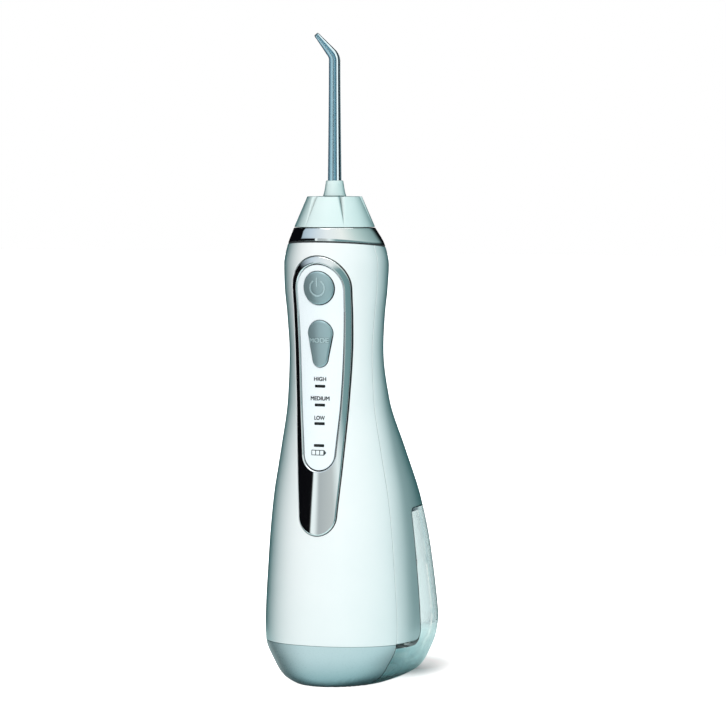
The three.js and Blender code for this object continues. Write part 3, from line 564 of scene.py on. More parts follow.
def finish(name, tones, roughness, metallic=0.0, patches=60.0, grain=2500.0, bump=0.02, coat=0.0,
           coat_roughness=0.08, stretch=(1, 1, 1), edge=None, foot_shade=None, crevice_shade_reach=0.0):
    """Two close tones in soft patches, with grain in the gloss and the surface. A tone for glancing angles,
    with the range it comes in over, is painted shade at the edges; a tone toward the foot, with its heights,
    is painted shade there; and a reach says how far away a neighbour still darkens the surface, painted shade
    in crevices."""
    material, tree, shader = blank(name)
    colour = blend(tree, remap(tree, noise(tree, patches, 4.0, stretch), 0.3, 0.7, 0, 1), *tones)
    # painted shade: darker toward the foot
    if foot_shade:
        colour = shade_toward_foot(tree, colour, *foot_shade)
    # painted shade at the glancing edges
    if edge:
        colour = edge_shade(tree, colour, *edge)
    # painted shade: darker where a neighbour is near, in crevices and grooves
    if crevice_shade_reach:
        open_share = node(tree, "AmbientOcclusion", {"Distance": crevice_shade_reach * MM}, samples=6).outputs["AO"]
        shade = remap(tree, open_share, 0.25, 0.95, 0.35, 1)
        colour = blend(tree, 1.0, colour, shade, "MULTIPLY")
    fine = noise(tree, grain, 2.0, stretch)
    gloss = remap(tree, fine, 0.3, 0.7, roughness * 0.88, roughness * 1.12)
    plug(tree, shader, Base_Color=colour, Roughness=gloss, Metallic=metallic, Coat_Weight=coat,
         Coat_Roughness=coat_roughness)
    if bump:
        relief = node(tree, "Bump", {"Height": fine, "Strength": bump, "Distance": 0.0002})
        plug(tree, shader, Normal=relief.outputs[0])
    return material


def clear(name, tint, roughness, edge, ior=1.46, foot_shade=None):
    """Clear plastic: faint streaks from moulding; darker where the eye looks along the wall and, given a foot
    tone, toward the foot, both painted shade.
    """
    material, tree, shader = blank(name)
    streak = noise(tree, 90.0, 3.0, (1, 1, 0.25))
    colour = blend(tree, remap(tree, streak, 0.3, 0.7, 0, 1), tint, tuple(0.96 * c for c in tint))
    # painted shade: darker toward the foot
    if foot_shade:
        colour = shade_toward_foot(tree, colour, *foot_shade)
    colour = edge_shade(tree, colour, *edge)
    gloss = remap(tree, noise(tree, 700.0), 0.3, 0.7, roughness * 0.8, roughness * 1.2)
    plug(tree, shader, Base_Color=colour, Roughness=gloss, Transmission_Weight=1.0, IOR=ior)
    return material


LOOK = {
    # pearl white; its darker tone at glancing edges is partly the pearl's own flop and partly painted shade
    "white_shell": finish("pearl_white", ((0.90, 0.892, 0.894), (0.885, 0.882, 0.884)), 0.34, bump=0.01,
                          coat=0.4, coat_roughness=0.14, edge=((0.02, 0.17, 0.18), 0.12, 1.0)),
    # the shell's pearl toned darker and greener: painted shade for the recess seen through the tank
    "tank_bed": finish("pearl_painted_shade_behind_tank", ((0.50, 0.62, 0.59), (0.48, 0.60, 0.57)), 0.34, bump=0.01),
    # the cap's pale plastic toned darker and bluer than the shell: painted shade for a part that faces down
    "blue_grey_gloss": finish("pale_cap_painted_shade", ((0.54, 0.645, 0.67), (0.52, 0.63, 0.655)), 0.3, bump=0.01,
                              coat=0.4, edge=((0.01, 0.05, 0.06), 0.08, 0.68),
                              foot_shade=(0, 16, (0.26, 0.42, 0.45))),
    "chrome_trim": finish("chrome", ((0.93, 0.96, 0.96), (0.90, 0.94, 0.945)), 0.04, metallic=1.0,
                          patches=25.0, bump=0.0),
    "panel_face": finish("panel_white", ((0.90, 0.925, 0.955), (0.88, 0.915, 0.945)), 0.3, bump=0.01),
    "button_silver": finish("satin_blue_grey", ((0.43, 0.57, 0.60), (0.40, 0.54, 0.57)), 0.37, metallic=0.72,
                            grain=4500.0, bump=0.05, edge=((0.06, 0.14, 0.16), 0.3, 1.0), crevice_shade_reach=0.6),
    # a lighter copy of the keys' satin: painted highlight on the raised power symbol and the mode key's
    # lettering
    "button_mark": finish("satin_painted_highlight", ((0.52, 0.66, 0.68), (0.49, 0.63, 0.66)), 0.3, metallic=0.4,
                          grain=4500.0, bump=0.05, edge=((0.05, 0.12, 0.14), 0.3, 0.9)),
    "mint_satin": finish("pale_mint_satin", ((0.68, 0.775, 0.765), (0.65, 0.755, 0.745)), 0.42, bump=0.04,
                         edge=((0.02, 0.15, 0.16), 0.22, 1.0), crevice_shade_reach=2.2),
    "print": finish("dark_print", ((0.012, 0.02, 0.024), (0.018, 0.028, 0.032)), 0.5, patches=900.0),
    "light_window": finish("dark_window", ((0.004, 0.005, 0.006), (0.007, 0.01, 0.01)), 0.12, patches=900.0,
                           bump=0.0),
    "clear_tip": clear("clear_blue_tip", (0.34, 0.50, 0.57), 0.0, ((0.05, 0.10, 0.16), 0.75, 1.0)),
    "clear_tank": clear("clear_green_grey", (0.93, 0.975, 0.968), 0.02, ((0.15, 0.40, 0.41), 0.66, 1.0), 1.35,
                        (0, 22, (0.26, 0.52, 0.55))),
    "frame_plastic": finish("frame_grey", ((0.20, 0.22, 0.23), (0.17, 0.19, 0.20)), 0.55, grain=1500,
                            bump=0.1),
    "steel": finish("steel", ((0.60, 0.60, 0.61), (0.53, 0.54, 0.55)), 0.28, metallic=1.0, stretch=(1, 1, 8)),
    "brass": finish("brass", ((0.72, 0.50, 0.20), (0.62, 0.42, 0.16)), 0.3, metallic=1.0, patches=300.0),
    "nylon": finish("nylon", ((0.78, 0.76, 0.70), (0.72, 0.70, 0.64)), 0.5, grain=1800.0, bump=0.08),
    "rubber": finish("black_rubber", ((0.025, 0.026, 0.028), (0.04, 0.041, 0.043)), 0.75, grain=2000,
                     bump=0.2),
    "silicone": finish("grey_silicone", ((0.42, 0.47, 0.48), (0.37, 0.42, 0.43)), 0.5, bump=0.08),
    "board": finish("green_board", ((0.02, 0.16, 0.07), (0.015, 0.12, 0.05)), 0.4, patches=500.0, bump=0.1),
    "cell_wrap": finish("blue_wrap", ((0.03, 0.10, 0.32), (0.025, 0.08, 0.27)), 0.35, bump=0.04),
    "copper": finish("copper", ((0.75, 0.36, 0.20), (0.62, 0.28, 0.15)), 0.35, metallic=1.0, patches=400.0,
                     stretch=(1, 1, 12)),
    "lead_red": finish("red_lead", ((0.50, 0.02, 0.02), (0.42, 0.015, 0.015)), 0.45, bump=0.05),
}


# ---------------------------------------------------------------- the shells
def joined(*lines):
    """Lines that follow each other, as one loop; each leaves out its last point."""
    return np.vstack([line[:-1] for line in lines])


def steps(start, end, spacing):
    return np.linspace(start, end, max(int(abs(end - start) / spacing), 2) + 1)


def ring_line(turn, lift):
    """Height of the chrome ring's lower edge at an angle round the handle."""
    z = np.full_like(turn, RING_EDGE)
    for _ in range(20):
        z = RING_EDGE + lift - RING_TILT * handle_point(turn, z)[..., 1]
    return z


def on_wall(turn, z):
    return columns(turn * TURN_SCALE, z + 0 * turn)


def around(line, middle):
    """The mirrored copy of a line on the handle's side, about the front or the back, run the other way."""
    flipped = line.copy()
    flipped[:, 0] = 2 * middle * TURN_SCALE - line[:, 0]
    return flipped[::-1]


FRONT, BACK = -math.pi / 2, math.pi / 2
RING_SEAM = 0.36     # half the dark line under the ring


def bezel_outline(grow):
    return round_ended((180.8, 14.6), (78.3, 9.2), ((157, 14.2), (129.6, 12.9), (102, 11.1)), grow, 0.8)


def panel_outline(grow):
    return round_ended((180.2, 11.9), (106.1, 8.0), ((157, 11.2), (129.6, 10.0), (114, 8.7)), grow, 0.7)


def front_shell():
    y = PARTING - SEAM / 2
    low, high = CAP_TOP + 0.04, RING_EDGE - RING_TILT * y - RING_SEAM
    z = steps(low, high, 1.4)
    side = on_wall(turn_at_y(y, z), z)
    top_turn = steps(side[-1, 0] / TURN_SCALE, 2 * FRONT - side[-1, 0] / TURN_SCALE, 0.05)
    bottom_turn = steps(2 * FRONT - side[0, 0] / TURN_SCALE, side[0, 0] / TURN_SCALE, 0.05)
    loop = joined(on_wall(bottom_turn, low), side, on_wall(top_turn, ring_line(top_turn, -RING_SEAM)),
                  around(side, FRONT))
    hole = bezel_outline(0.35)
    hole = on_wall(turn_at_x(hole[:, 0], hole[:, 1]), hole[:, 1])
    build = patch(wall_map, [loop, hole], 0.18, SHELL_WALL)
    show("front_shell", build, "handle", "white_shell", ["front_housing"])


TANK = {"shoulder": 19.6, "recess": 17.8, "foot": 24.0, "lean": 0.066, "inner": 4.2, "outer": 3.0}


def recess_y(z):
    return TANK["recess"] - (z - TANK["foot"]) * TANK["lean"]


def tank_line(grow):
    """The tank's front outline in side view, (y, z), moved into the handle by grow, from the parting plane
    along the shoulder and up the recess to the tank's flat top."""
    foot = (recess_y(TANK["foot"]) - TANK["inner"], TANK["shoulder"] + TANK["inner"])
    head = (recess_y(TANK_TOP - TANK["outer"]) + TANK["outer"], TANK_TOP - TANK["outer"])
    y = steps(PARTING, foot[0], 1.2)
    shoulder = columns(y, TANK["shoulder"] + 0 * y)
    z = steps(foot[1], head[1], 1.5)
    rise = columns(np.linspace(foot[0] + TANK["inner"], head[0] - TANK["outer"], len(z)), z)
    line = np.vstack([shoulder, arc(foot, TANK["inner"], -90, 0, 9)[1:], rise[1:],
                      arc(head, TANK["outer"], 180, 90, 9)[1:]])
    along = unit(np.gradient(line, axis=0))
    return line + grow * columns(-along[:, 1], along[:, 0])


def tank_border(grow):
    """The same line on the right-hand side of the handle, with its run round the back along the top."""
    line = tank_line(grow)
    side = on_wall(turn_at_y(line[:, 0], line[:, 1]), line[:, 1])
    top = steps(side[-1, 0] / TURN_SCALE, 2 * BACK - side[-1, 0] / TURN_SCALE, 0.05)
    return side, on_wall(top, line[-1, 1])


def back_hole(outline, height, tilt):
    """An outline drawn on the sloping back, as (x, height) pairs."""
    return columns(outline[:, 0], height + outline[:, 1] * math.cos(math.radians(tilt)))


def pill(half, radius, grow=0.0):
    right = arc((half, 0), radius + grow, -90, 90, 13)
    left = arc((-half, 0), radius + grow, 90, 270, 13)
    return resample(np.vstack([right, left]), 0.6)


RELEASE = {"z": sum(span("release_button", Z)) / 2, "tilt": 0, "half": 1.8, "radius": 3.2}
CHARGE = {"z": 97.0, "tilt": 31, "half": 3.4, "radius": 3.8}
DOOR = {"z": 62.0, "tilt": 21, "half": 13.0, "corner": 3.0, "wall": 1.8}


def rear_shell():
    y = PARTING + SEAM / 2
    side, top = tank_border(TANK_SEAM / 2)
    high = RING_EDGE - RING_TILT * y - RING_SEAM
    z = steps(TANK["shoulder"] + TANK_SEAM / 2, high, 1.4)
    parting = on_wall(turn_at_y(y, z), z)[::-1]
    side = side[side[:, 0] > parting[-1, 0] + 0.3]
    crown_turn = steps(2 * BACK - parting[0, 0] / TURN_SCALE, parting[0, 0] / TURN_SCALE, 0.05)
    crown = on_wall(crown_turn, ring_line(crown_turn, -RING_SEAM))
    loop = joined(parting, np.vstack([parting[-1:], side]), top,
                  np.vstack([around(side, BACK), around(parting[-1:], BACK)]), around(parting, BACK), crown)
    holes = []
    for place in (RELEASE, CHARGE):
        hole = back_hole(pill(place["half"], place["radius"], 0.12), place["z"], place["tilt"])
        holes.append(on_wall(turn_at_x(hole[:, 0], hole[:, 1], back=True), hole[:, 1]))
    build = patch(wall_map, [loop, *holes], 0.18, SHELL_WALL)
    show("rear_shell", build, "handle", "white_shell", ["rear_housing"])


def profile_sheet(grow):
    """Surface map (x, length along the tank's front outline) and that outline with its lengths."""
    line = tank_line(grow)
    line = np.vstack([line, [80.0, line[-1, 1]]])
    length = np.concatenate([[0], np.cumsum(np.linalg.norm(np.diff(line, axis=0), axis=1))])

    def surface(uv):
        y = np.interp(uv[:, 1], length, line[:, 0])
        z = np.interp(uv[:, 1], length, line[:, 1])
        return columns(uv[:, 0], y, z)
    return surface, line[:-1], length[:-1]


def sheet_border(line, length, inset):
    z = line[:, 1]
    turn = turn_at_y(line[:, 0], z, inset)
    side = columns(handle_point(turn, z, inset)[:, 0], length)
    end_turn = steps(turn[-1], BACK - 0.02, 0.04)
    end = handle_point(end_turn, z[-1], inset)
    end = columns(end[:, 0], length[-1] + end[:, 1] - line[-1, 0])
    right = np.vstack([side, end[1:]])
    left = right[::-1] * (-1, 1)
    return resample(np.vstack([right, left]), 1.5)


def port_hole(line, length, height, radius):
    at = np.interp(height, line[:, 1], length)
    return arc((0, at), radius, 0, 345, 24)


PORT_Z = sum(span("port_seal", Z)) / 2


def recess_wall():
    """The handle's wall behind the tank, with the port in it; its pearl is toned darker and greener, painted
    shade for the recess.
    """
    surface, line, length = profile_sheet(TANK_SEAM / 2 + 0.1)
    loops = [sheet_border(line, length, 2.1), port_hole(line, length, PORT_Z, 3.3)]
    build = patch(surface, loops, 0.1, SHELL_WALL, outward=-1)
    show("recess_wall", build, "handle", "tank_bed")


def cap_shell():
    y = PARTING - SEAM / 2
    high = CAP_TOP - 0.04
    z = steps(0, high, 1.0)
    turn = turn_at_y(y, z)
    side = bowl_uv(turn, z)
    left = bowl_uv(2 * FRONT - turn, z)
    rim = bowl_uv(steps(2 * FRONT - turn[-1], turn[-1], 0.04), high)
    half = handle_point(turn[0], 0.0)[0]
    x = steps(half, -half, 1.2)
    floor = floor_uv(x[1:-1], y + 0 * x[1:-1])
    loop = joined(rim, side[::-1], np.vstack([side[:1], floor, left[:1]]), left)
    build = patch(bowl_map, [loop], 0.14, SHELL_WALL, outward=-1)
    show("cap_shell", build, "handle", "blue_grey_gloss", ["base_cap"])


def door_outline(grow, notch=None):
    """The fill door's outline on the back; with a notch, the hinge's knuckle is cut out below it."""
    half = DOOR["half"] + grow
    outline = rounded_box(half, half, DOOR["corner"] + grow, 0.9)
    if notch:
        width, depth = notch
        low = np.array([(-width, -half), (-width, -half - depth), (width, -half - depth), (width, -half)])
        keep = ~((np.abs(outline[:, 0]) < width + 0.4) & (outline[:, 1] < 0))
        start = int(np.argmax(~keep & np.roll(keep, 1)))
        outline = np.roll(outline, -start, axis=0)
        keep = np.roll(keep, -start)
        outline = np.vstack([resample(low, 0.9, closed=False), outline[keep]])
    return back_hole(outline, DOOR["z"], DOOR["tilt"])


def tank_skin():
    y = PARTING + SEAM / 2
    line = tank_line(-TANK_SEAM / 2)
    line = line[line[:, 0] > y + 0.3]
    z = steps(0, TANK["shoulder"] - TANK_SEAM / 2, 1.0)
    turn = turn_at_y(y, z)
    side = np.vstack([bowl_uv(turn, z), bowl_uv(turn_at_y(line[:, 0], line[:, 1]), line[:, 1])])
    last = turn_at_y(line[-1, 0], line[-1, 1])
    top = bowl_uv(steps(last, 2 * BACK - last, 0.04), line[-1, 1])
    left = (side * (-1, 1))[::-1]
    half = handle_point(turn[0], 0.0)[0]
    x = steps(-half, half, 1.2)
    floor = floor_uv(x, y + 0 * x)
    loop = joined(side, top, left, floor)
    door = door_outline(0.14, notch=(8.25, 2.8))
    door = bowl_uv(turn_at_x(door[:, 0], door[:, 1], back=True), door[:, 1])
    rows = [bowl_uv(np.arange(-0.5, 3.7, 0.03), CREASE_Z + lift) for lift in (-1.6, -0.8, 0, 0.8, 1.6)]
    skin = patch(bowl_map, [loop, door], 0.3, TANK_WALL, (1.3, 1.3), outward=-1, extra=np.vstack(rows))
    show("tank_skin", skin, "tank", "clear_tank", ["reservoir"])


def tank_front():
    """The tank's clear wall that faces the handle."""
    surface, line, length = profile_sheet(-TANK_SEAM / 2)
    loops = [sheet_border(line, length, TANK_WALL + 0.02), port_hole(line, length, PORT_Z, 2.9)]
    build = patch(surface, loops, 0.1, TANK_WALL, outward=1)
    show("tank_front", build, "tank", "clear_tank")


def chrome_ring():
    """Rows are how far in, how far up from the lower to the upper edge, and a shift for the rounded edges."""
    turn = np.linspace(0, 2 * math.pi, 160, endpoint=False)
    low, high = ring_line(turn, RING_SEAM), np.full_like(turn, RING_TOP)
    rows = [(0.15, 0, 0), (0.05, 0, 0.05), (0, 0, 0.15), (0, 0.25, 0), (0, 0.5, 0), (0, 0.75, 0),
            (0, 1, -0.15), (0.05, 1, -0.05), (0.15, 1, 0), (2, 1, 0), (2, 0, 0)]
    rings = [handle_point(turn, low + (high - low) * share + shift, inset) for inset, share, shift in rows]
    show("chrome_ring", grid_solid(rings), "handle", "chrome_trim", ["neck_ring"], sharp=50)


def ring_gasket():
    """The black seal that shows as a thin line under the chrome ring."""
    turn = np.linspace(0, 2 * math.pi, 160, endpoint=False)
    rows = [(0.14, -0.6), (0.14, 0.6), (1.3, 0.6), (1.3, -0.6)]
    rings = [handle_point(turn, ring_line(turn, lift), inset) for inset, lift in rows]
    show("ring_gasket", grid_solid(rings), "handle", "rubber", sharp=40)


# ---------------------------------------------------------------- the control panel
def disc(centre_z, radius, spacing=0.6):
    return resample(arc((0, centre_z), radius, 0, 360, 90)[:-1], spacing)


BUTTON_PROUD = 0.9
ARCH_Z = 180.5        # middle of the arch over the power key
POWER_R = 7.7


def power_crown(x, z):
    return 0.8 * np.clip(1 - (x**2 + (z - PANEL_MID["power_button"]) ** 2) / POWER_R**2, 0, 1)


def mode_crown(x, z):
    return 0.7 * np.clip(1 - (x / 6.3) ** 2 - ((z - PANEL_MID["mode_button"] - 1) / 12) ** 2, 0, 1)


def mode_outline(grow):
    return round_ended((160.2, 6.3), (149.1, 4.0), (), grow, 0.6)


def bezel_bevel(x, z):
    """Tips the arch over the power key outward, less and less towards the middle of the panel."""
    share = np.clip((z - 140) / 35, 0, 1)
    from_middle = np.hypot(x, np.clip(z - ARCH_Z, 0, None))
    return 0.22 * share * np.clip(13.2 - from_middle, -1.6, 1.6)


def bezel():
    loops = [bezel_outline(0), panel_outline(0)]
    build = patch(front_map(0.6, bezel_bevel), loops, [0.7, 0.6], 1.7, (1.2, 1.8), rounds=5)
    show("chrome_bezel", build, "handle", "chrome_trim", ["panel_bezel"])


LIGHTS = ("high_light", "medium_light", "low_light", "charge_light")


def panel_gap_shade():
    """A black sheet, painted shade, that shows as dark lines in the fine gaps round the panel; it lies deep
    enough for its keys to go down.
    """
    build = patch(front_map(-1.6), [bezel_outline(0.3)], 0.1, 0.5)
    show("panel_gap_shade", build, "handle", "rubber")


def panel():
    loops = [panel_outline(-0.55), disc(PANEL_MID["power_button"], POWER_R + 0.1), mode_outline(0.1)]
    for light in LIGHTS:
        loops.append(rounded_box(2.58, 0.66, 0.3, 0.3) + (0, PANEL_MID[light]))
    build = patch(front_map(0.1), loops, [0.25, 0.2, 0.2] + [0.04] * 4, 1.2, (1.3, 1.3))
    show("panel_face", build, "handle", "panel_face", ["control_panel"])


def buttons():
    round_edge, wall, spacing = 0.9, 1.4, (0.9, 0.9)
    for name, body, crown, outline in (
            ("power_key", "power_button", power_crown, disc(PANEL_MID["power_button"], POWER_R)),
            ("mode_key", "mode_button", mode_crown, mode_outline(0))):
        key = patch(front_map(BUTTON_PROUD, crown), [outline], round_edge, wall, spacing, rounds=6)
        show(name, key, body, "button_silver", [body])


def stamp(name, loops, body, look, proud, crown=None, thick=0.2, edge=0.05, replaces=()):
    show(name, patch(front_map(proud, crown), loops, edge, thick, (0.5, 0.5), rounds=2), body, look,
         replaces)


def power_symbol():
    z = PANEL_MID["power_button"]
    opening, after = 118, 422
    ring = np.vstack([arc((0, z), 4.0, opening, after, 48), arc((0, z), 3.15, after, opening, 40)])
    bar = rounded_box(0.42, 2.2, 0.3, 0.25) + (0, z + 2.5)
    for name, outline in (("power_ring", ring), ("power_bar", bar)):
        stamp(name, [outline], "power_button", "button_mark", BUTTON_PROUD + 0.25, power_crown, 0.5, 0.16)


def windows():
    for light in LIGHTS:
        stamp(light + "_window", [rounded_box(2.55, 0.63, 0.3, 0.3) + (0, PANEL_MID[light])], "handle",
              "light_window", 0.08, thick=0.8, replaces=[light])


def embolden(shape, weight):
    """Move the sides of flat solid letters outward."""
    shape.normal_update()
    ways = []
    for vertex in shape.verts:
        sides = [face.normal for face in vertex.link_faces if abs(face.normal.z) < 0.5]
        ways.append(sum(sides, Vector()).normalized())
    for vertex, way in zip(shape.verts, ways):
        vertex.co += way * weight


def lettering(name, text, width, height, middle, body, look, proud, crown=None, thick=0.2, weight=0.032):
    """A word laid on the handle's front, its letters solid."""
    curve = bpy.data.curves.new(name, "FONT")
    curve.body = text
    curve.extrude = 0.5
    curve.resolution_u = 4
    holder = bpy.data.objects.new(name, curve)
    bpy.context.scene.collection.objects.link(holder)
    flat = bpy.data.meshes.new_from_object(holder.evaluated_get(bpy.context.evaluated_depsgraph_get()))
    bpy.data.objects.remove(holder)
    shape = bmesh.new()
    shape.from_mesh(flat)
    bmesh.ops.remove_doubles(shape, verts=shape.verts, dist=1e-5)
    embolden(shape, weight)
    bmesh.ops.triangulate(shape, faces=shape.faces)
    places = np.array([v.co for v in shape.verts])
    low, high = places.min(0), places.max(0)
    x = ((places[:, 0] - low[0]) / (high[0] - low[0]) - 0.5) * width
    z = ((places[:, 1] - low[1]) / (high[1] - low[1]) - 0.5) * height + middle
    points = front_map(proud, crown)(columns(x, z))
    points[:, 1] += np.where(places[:, 2] > 0, 0, thick)
    for vertex, point in zip(shape.verts, points * MM):
        vertex.co = point
    bmesh.ops.recalc_face_normals(shape, faces=shape.faces)
    mesh = bpy.data.meshes.new(name)
    shape.to_mesh(mesh)
    shape.free()
    show(name, mesh, body, look, sharp=40)


def labels():
    for word, light, width, above in (("HIGH", "high_light", 6.0, 3.3), ("MEDIUM", "medium_light", 9.3, 3.0),
                                      ("LOW", "low_light", 5.2, 2.6)):
        middle = PANEL_MID[light] + above
        lettering("label_" + word.lower(), word, width, 1.9, middle, "handle", "print", 0.22)
    lettering("label_mode", "MODE", 9.6, 2.4, PANEL_MID["mode_button"] + 1.6, "mode_button", "button_mark",
              BUTTON_PROUD + 0.3, mode_crown, 0.6, weight=0.05)


def battery_icon():
    z = PANEL_MID["charge_light"] - 3.2
    outer = np.array([(-3.7, -1.25), (2.6, -1.25), (3.7, 0), (2.6, 1.25), (-3.7, 1.25)]) + (0, z)
    loops = [resample(outer, 0.3)]
    for cell in range(3):
        middle = -2.55 + cell * 2.0
        loops.append(rounded_box(0.82, 0.92, 0.1, 0.25) + (middle, z))
    stamp("label_battery", loops, "handle", "print", 0.15, edge=0.03)


# ---------------------------------------------------------------- knob, collar and tip
def knob():
    """A cone with six grooves that get wider and deeper upward, from nothing at its lower part."""
    petals, first, low, high = 6, -112.5, 209.5, KNOB_TOP + 1
    foot, top, rim = 18.4, 12.4, 0.5
    z_rows = np.linspace(KNOB_BOTTOM + 0.5, KNOB_TOP - rim, 18)
    slope = (top - foot) / (KNOB_TOP - KNOB_BOTTOM)
    rows = [(13.5, KNOB_BOTTOM), (foot - 0.5, KNOB_BOTTOM), (foot - 0.1, KNOB_BOTTOM + 0.15)]
    rows += [(foot + (z - KNOB_BOTTOM) * slope, z) for z in z_rows]
    edge_r = rows[-1][0]
    rows += [(edge_r - 0.08, KNOB_TOP - 0.22), (edge_r - 0.25, KNOB_TOP - 0.06), (edge_r - 0.55, KNOB_TOP)]
    cut_rows = len(rows)
    bore, lid = 4.55, 2.5
    rows += [(9.3, KNOB_TOP), (bore, KNOB_TOP), (bore, KNOB_TOP - lid), (8, KNOB_TOP - lid)]
    rings = []
    for row, (radius, z) in enumerate(rows):
        share = np.clip((z - low) / (high - low), 0, 1)
        half, depth = 0.05 + 1.5 * share, (0.05 + 2.0 * share) * (0 < row < cut_rows)
        offsets = np.concatenate([[0, half * 0.5, half, half + 0.12, half + 0.35], np.zeros(11)])
        pitch = 2 * math.pi / petals
        reach = max(radius, 9.0)
        angle = offsets / reach
        angle[5:] = np.linspace(angle[4], pitch / 2, 13)[1:-1]
        drop = np.concatenate([[depth, depth * 0.5, min(depth, 0.09), 0.02 * (depth > 0.1), 0], np.zeros(11)])
        full = np.concatenate([angle, [pitch / 2], pitch - angle[:0:-1]])
        drops = np.concatenate([drop, [0], drop[:0:-1]])
        turns = np.concatenate([math.radians(first) + pitch * k + full for k in range(petals)])
        r = radius - np.tile(drops, petals)
        rings.append(columns(r * np.cos(turns), r * np.sin(turns), z + 0 * turns))
    show("ribbed_knob", grid_solid(rings), "knob", "mint_satin", ["rotation_knob"], sharp=32)


def collar():
    """The flared sleeve that holds the tip; its shank goes down into the knob."""
    shank_r, shank_bottom, bore = 4.4, 206.0, 3.25
    foot = KNOB_TOP + 0.12
    flare = [(5.3, foot + 0.25), (4.95, foot + 1.1), (4.65, foot + 2.3), (4.4, foot + 3.8),
             (4.15, foot + 5.4), (3.95, foot + 6.75)]
    lip = [(3.75, foot + 7.05), (3.4, foot + 7.1), (bore, foot + 6.9)]
    profile = [(shank_r, shank_bottom), (shank_r, foot), (5.15, foot), *flare, *lip, (bore, shank_bottom)]
    build = turned(profile, 72)
    show("flared_collar", build, "knob", "mint_satin", ["nozzle_collar"], sharp=40)


def tip():
    """The jet tip: a straight tapering tube with a narrow bore and one bend near its end."""
    heading = math.radians(226)
    sideways = np.array([math.cos(heading), math.sin(heading), 0])
    up = np.array([0, 0, 1.0])
    corner, bend_r, angle = 285.57, 5.0, math.radians(42)
    nozzle_length, bore_share, sides = 13.37, 0.24, 64
    leg = bend_r * math.tan(angle / 2)
    bend = corner - leg
    straight = [up * z for z in (194.0, 200, 215, 229.5, 236, 243, 250, 257, 264, 271, 278, bend)]
    curve = [sideways * bend_r * (1 - math.cos(t)) + up * (bend + bend_r * math.sin(t))
             for t in np.linspace(0, angle, 12)[1:]]
    direction = sideways * math.sin(angle) + up * math.cos(angle)
    nozzle = [curve[-1] + direction * share * (nozzle_length - leg)
              for share in (0.15, 0.33, 0.5, 0.68, 0.85, 0.96, 1)]
    path = straight + curve + nozzle
    outer = [3.1, 3.1, 3.1, 3.1, 3.02, 2.93, 2.85, 2.78, 2.71, 2.65, 2.61, 2.6]
    outer += list(np.linspace(2.58, 2.3, len(curve))) + [2.12, 1.9, 1.7, 1.5, 1.3, 1.2, 1.05]
    inner = [r * bore_share for r in outer]
    rings = sweep(path, outer, sides) + sweep(path, inner, sides)[::-1]
    show("jet_tube", grid_solid(rings), "tip", "clear_tip", ["jet_tip"], sharp=40)


# ---------------------------------------------------------------- the back
def fill_door():
    outline = door_outline(0)
    build = patch(back_map(), [outline], 0.3, DOOR["wall"], (1.5, 1.5), outward=-1)
    show("fill_lid", build, "door", "clear_tank", ["fill_door"])


def hinge_bars():
    pin_low, pin_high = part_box("door_hinge_pin")
    y, z = ((pin_low[k] + pin_high[k]) / 2 / MM for k in (Y, Z))
    for name, low, high, body in (("lid_knuckle", -8, 8, "door"), ("left_ear", -11.5, -8.4, "tank"),
                                  ("right_ear", 8.4, 11.5, "tank")):
        profile = rounded_profile([(0.78, low), (1.5, low), (1.5, high), (0.78, high)], 0.25)
        build = turned(profile, 40)
        points = np.vstack(build.points)
        build.points = [columns(points[:, 2], y + points[:, 0], z + points[:, 1])]
        show(name, build, body, "clear_tank", sharp=40)


def back_details():
    """The release key and the charge port's plug. A gap keeps the key clear of the shell as it goes in."""
    for name, place, gap, proud, node_name, body, look in (
            ("release_key", RELEASE, 0.5, 0.8, "release_button", "release", "button_silver"),
            ("charge_plug", CHARGE, 0, 0.25, "charge_port", "handle", "rubber")):
        outline = back_hole(pill(place["half"], place["radius"], -gap), place["z"], place["tilt"])
        build = patch(back_map(proud), [outline], 0.7, 2.0, (0.8, 0.8), outward=-1)
        show(name, build, body, look, [node_name])


def dress_cad_nodes():
    """The pieces inside keep their CAD meshes and take a material by slot."""
    for entry in frame["record"]["subparts"]:
        thing = frame["nodes"][entry["node"]]
        if not thing.hide_render:
            for socket in thing.material_slots:
                socket.material = LOOK[entry["material_slot"]]


# ---------------------------------------------------------------- studio
def ramp(tree, factor, stops):
    """Tones by bearing, once round the object; 0 is in front, +90 is the object's right."""
    made = node(tree, "ValToRGB", {"Fac": factor})
    elements = made.color_ramp.elements
    while len(elements) < len(stops):
        elements.new(0.5)
    for element, (bearing, colour) in zip(elements, stops):
        element.position = (bearing + 180) / 360
        element.color = (*colour, 1)
    return made.outputs["Color"]


DARK = (0.003, 0.003, 0.004)


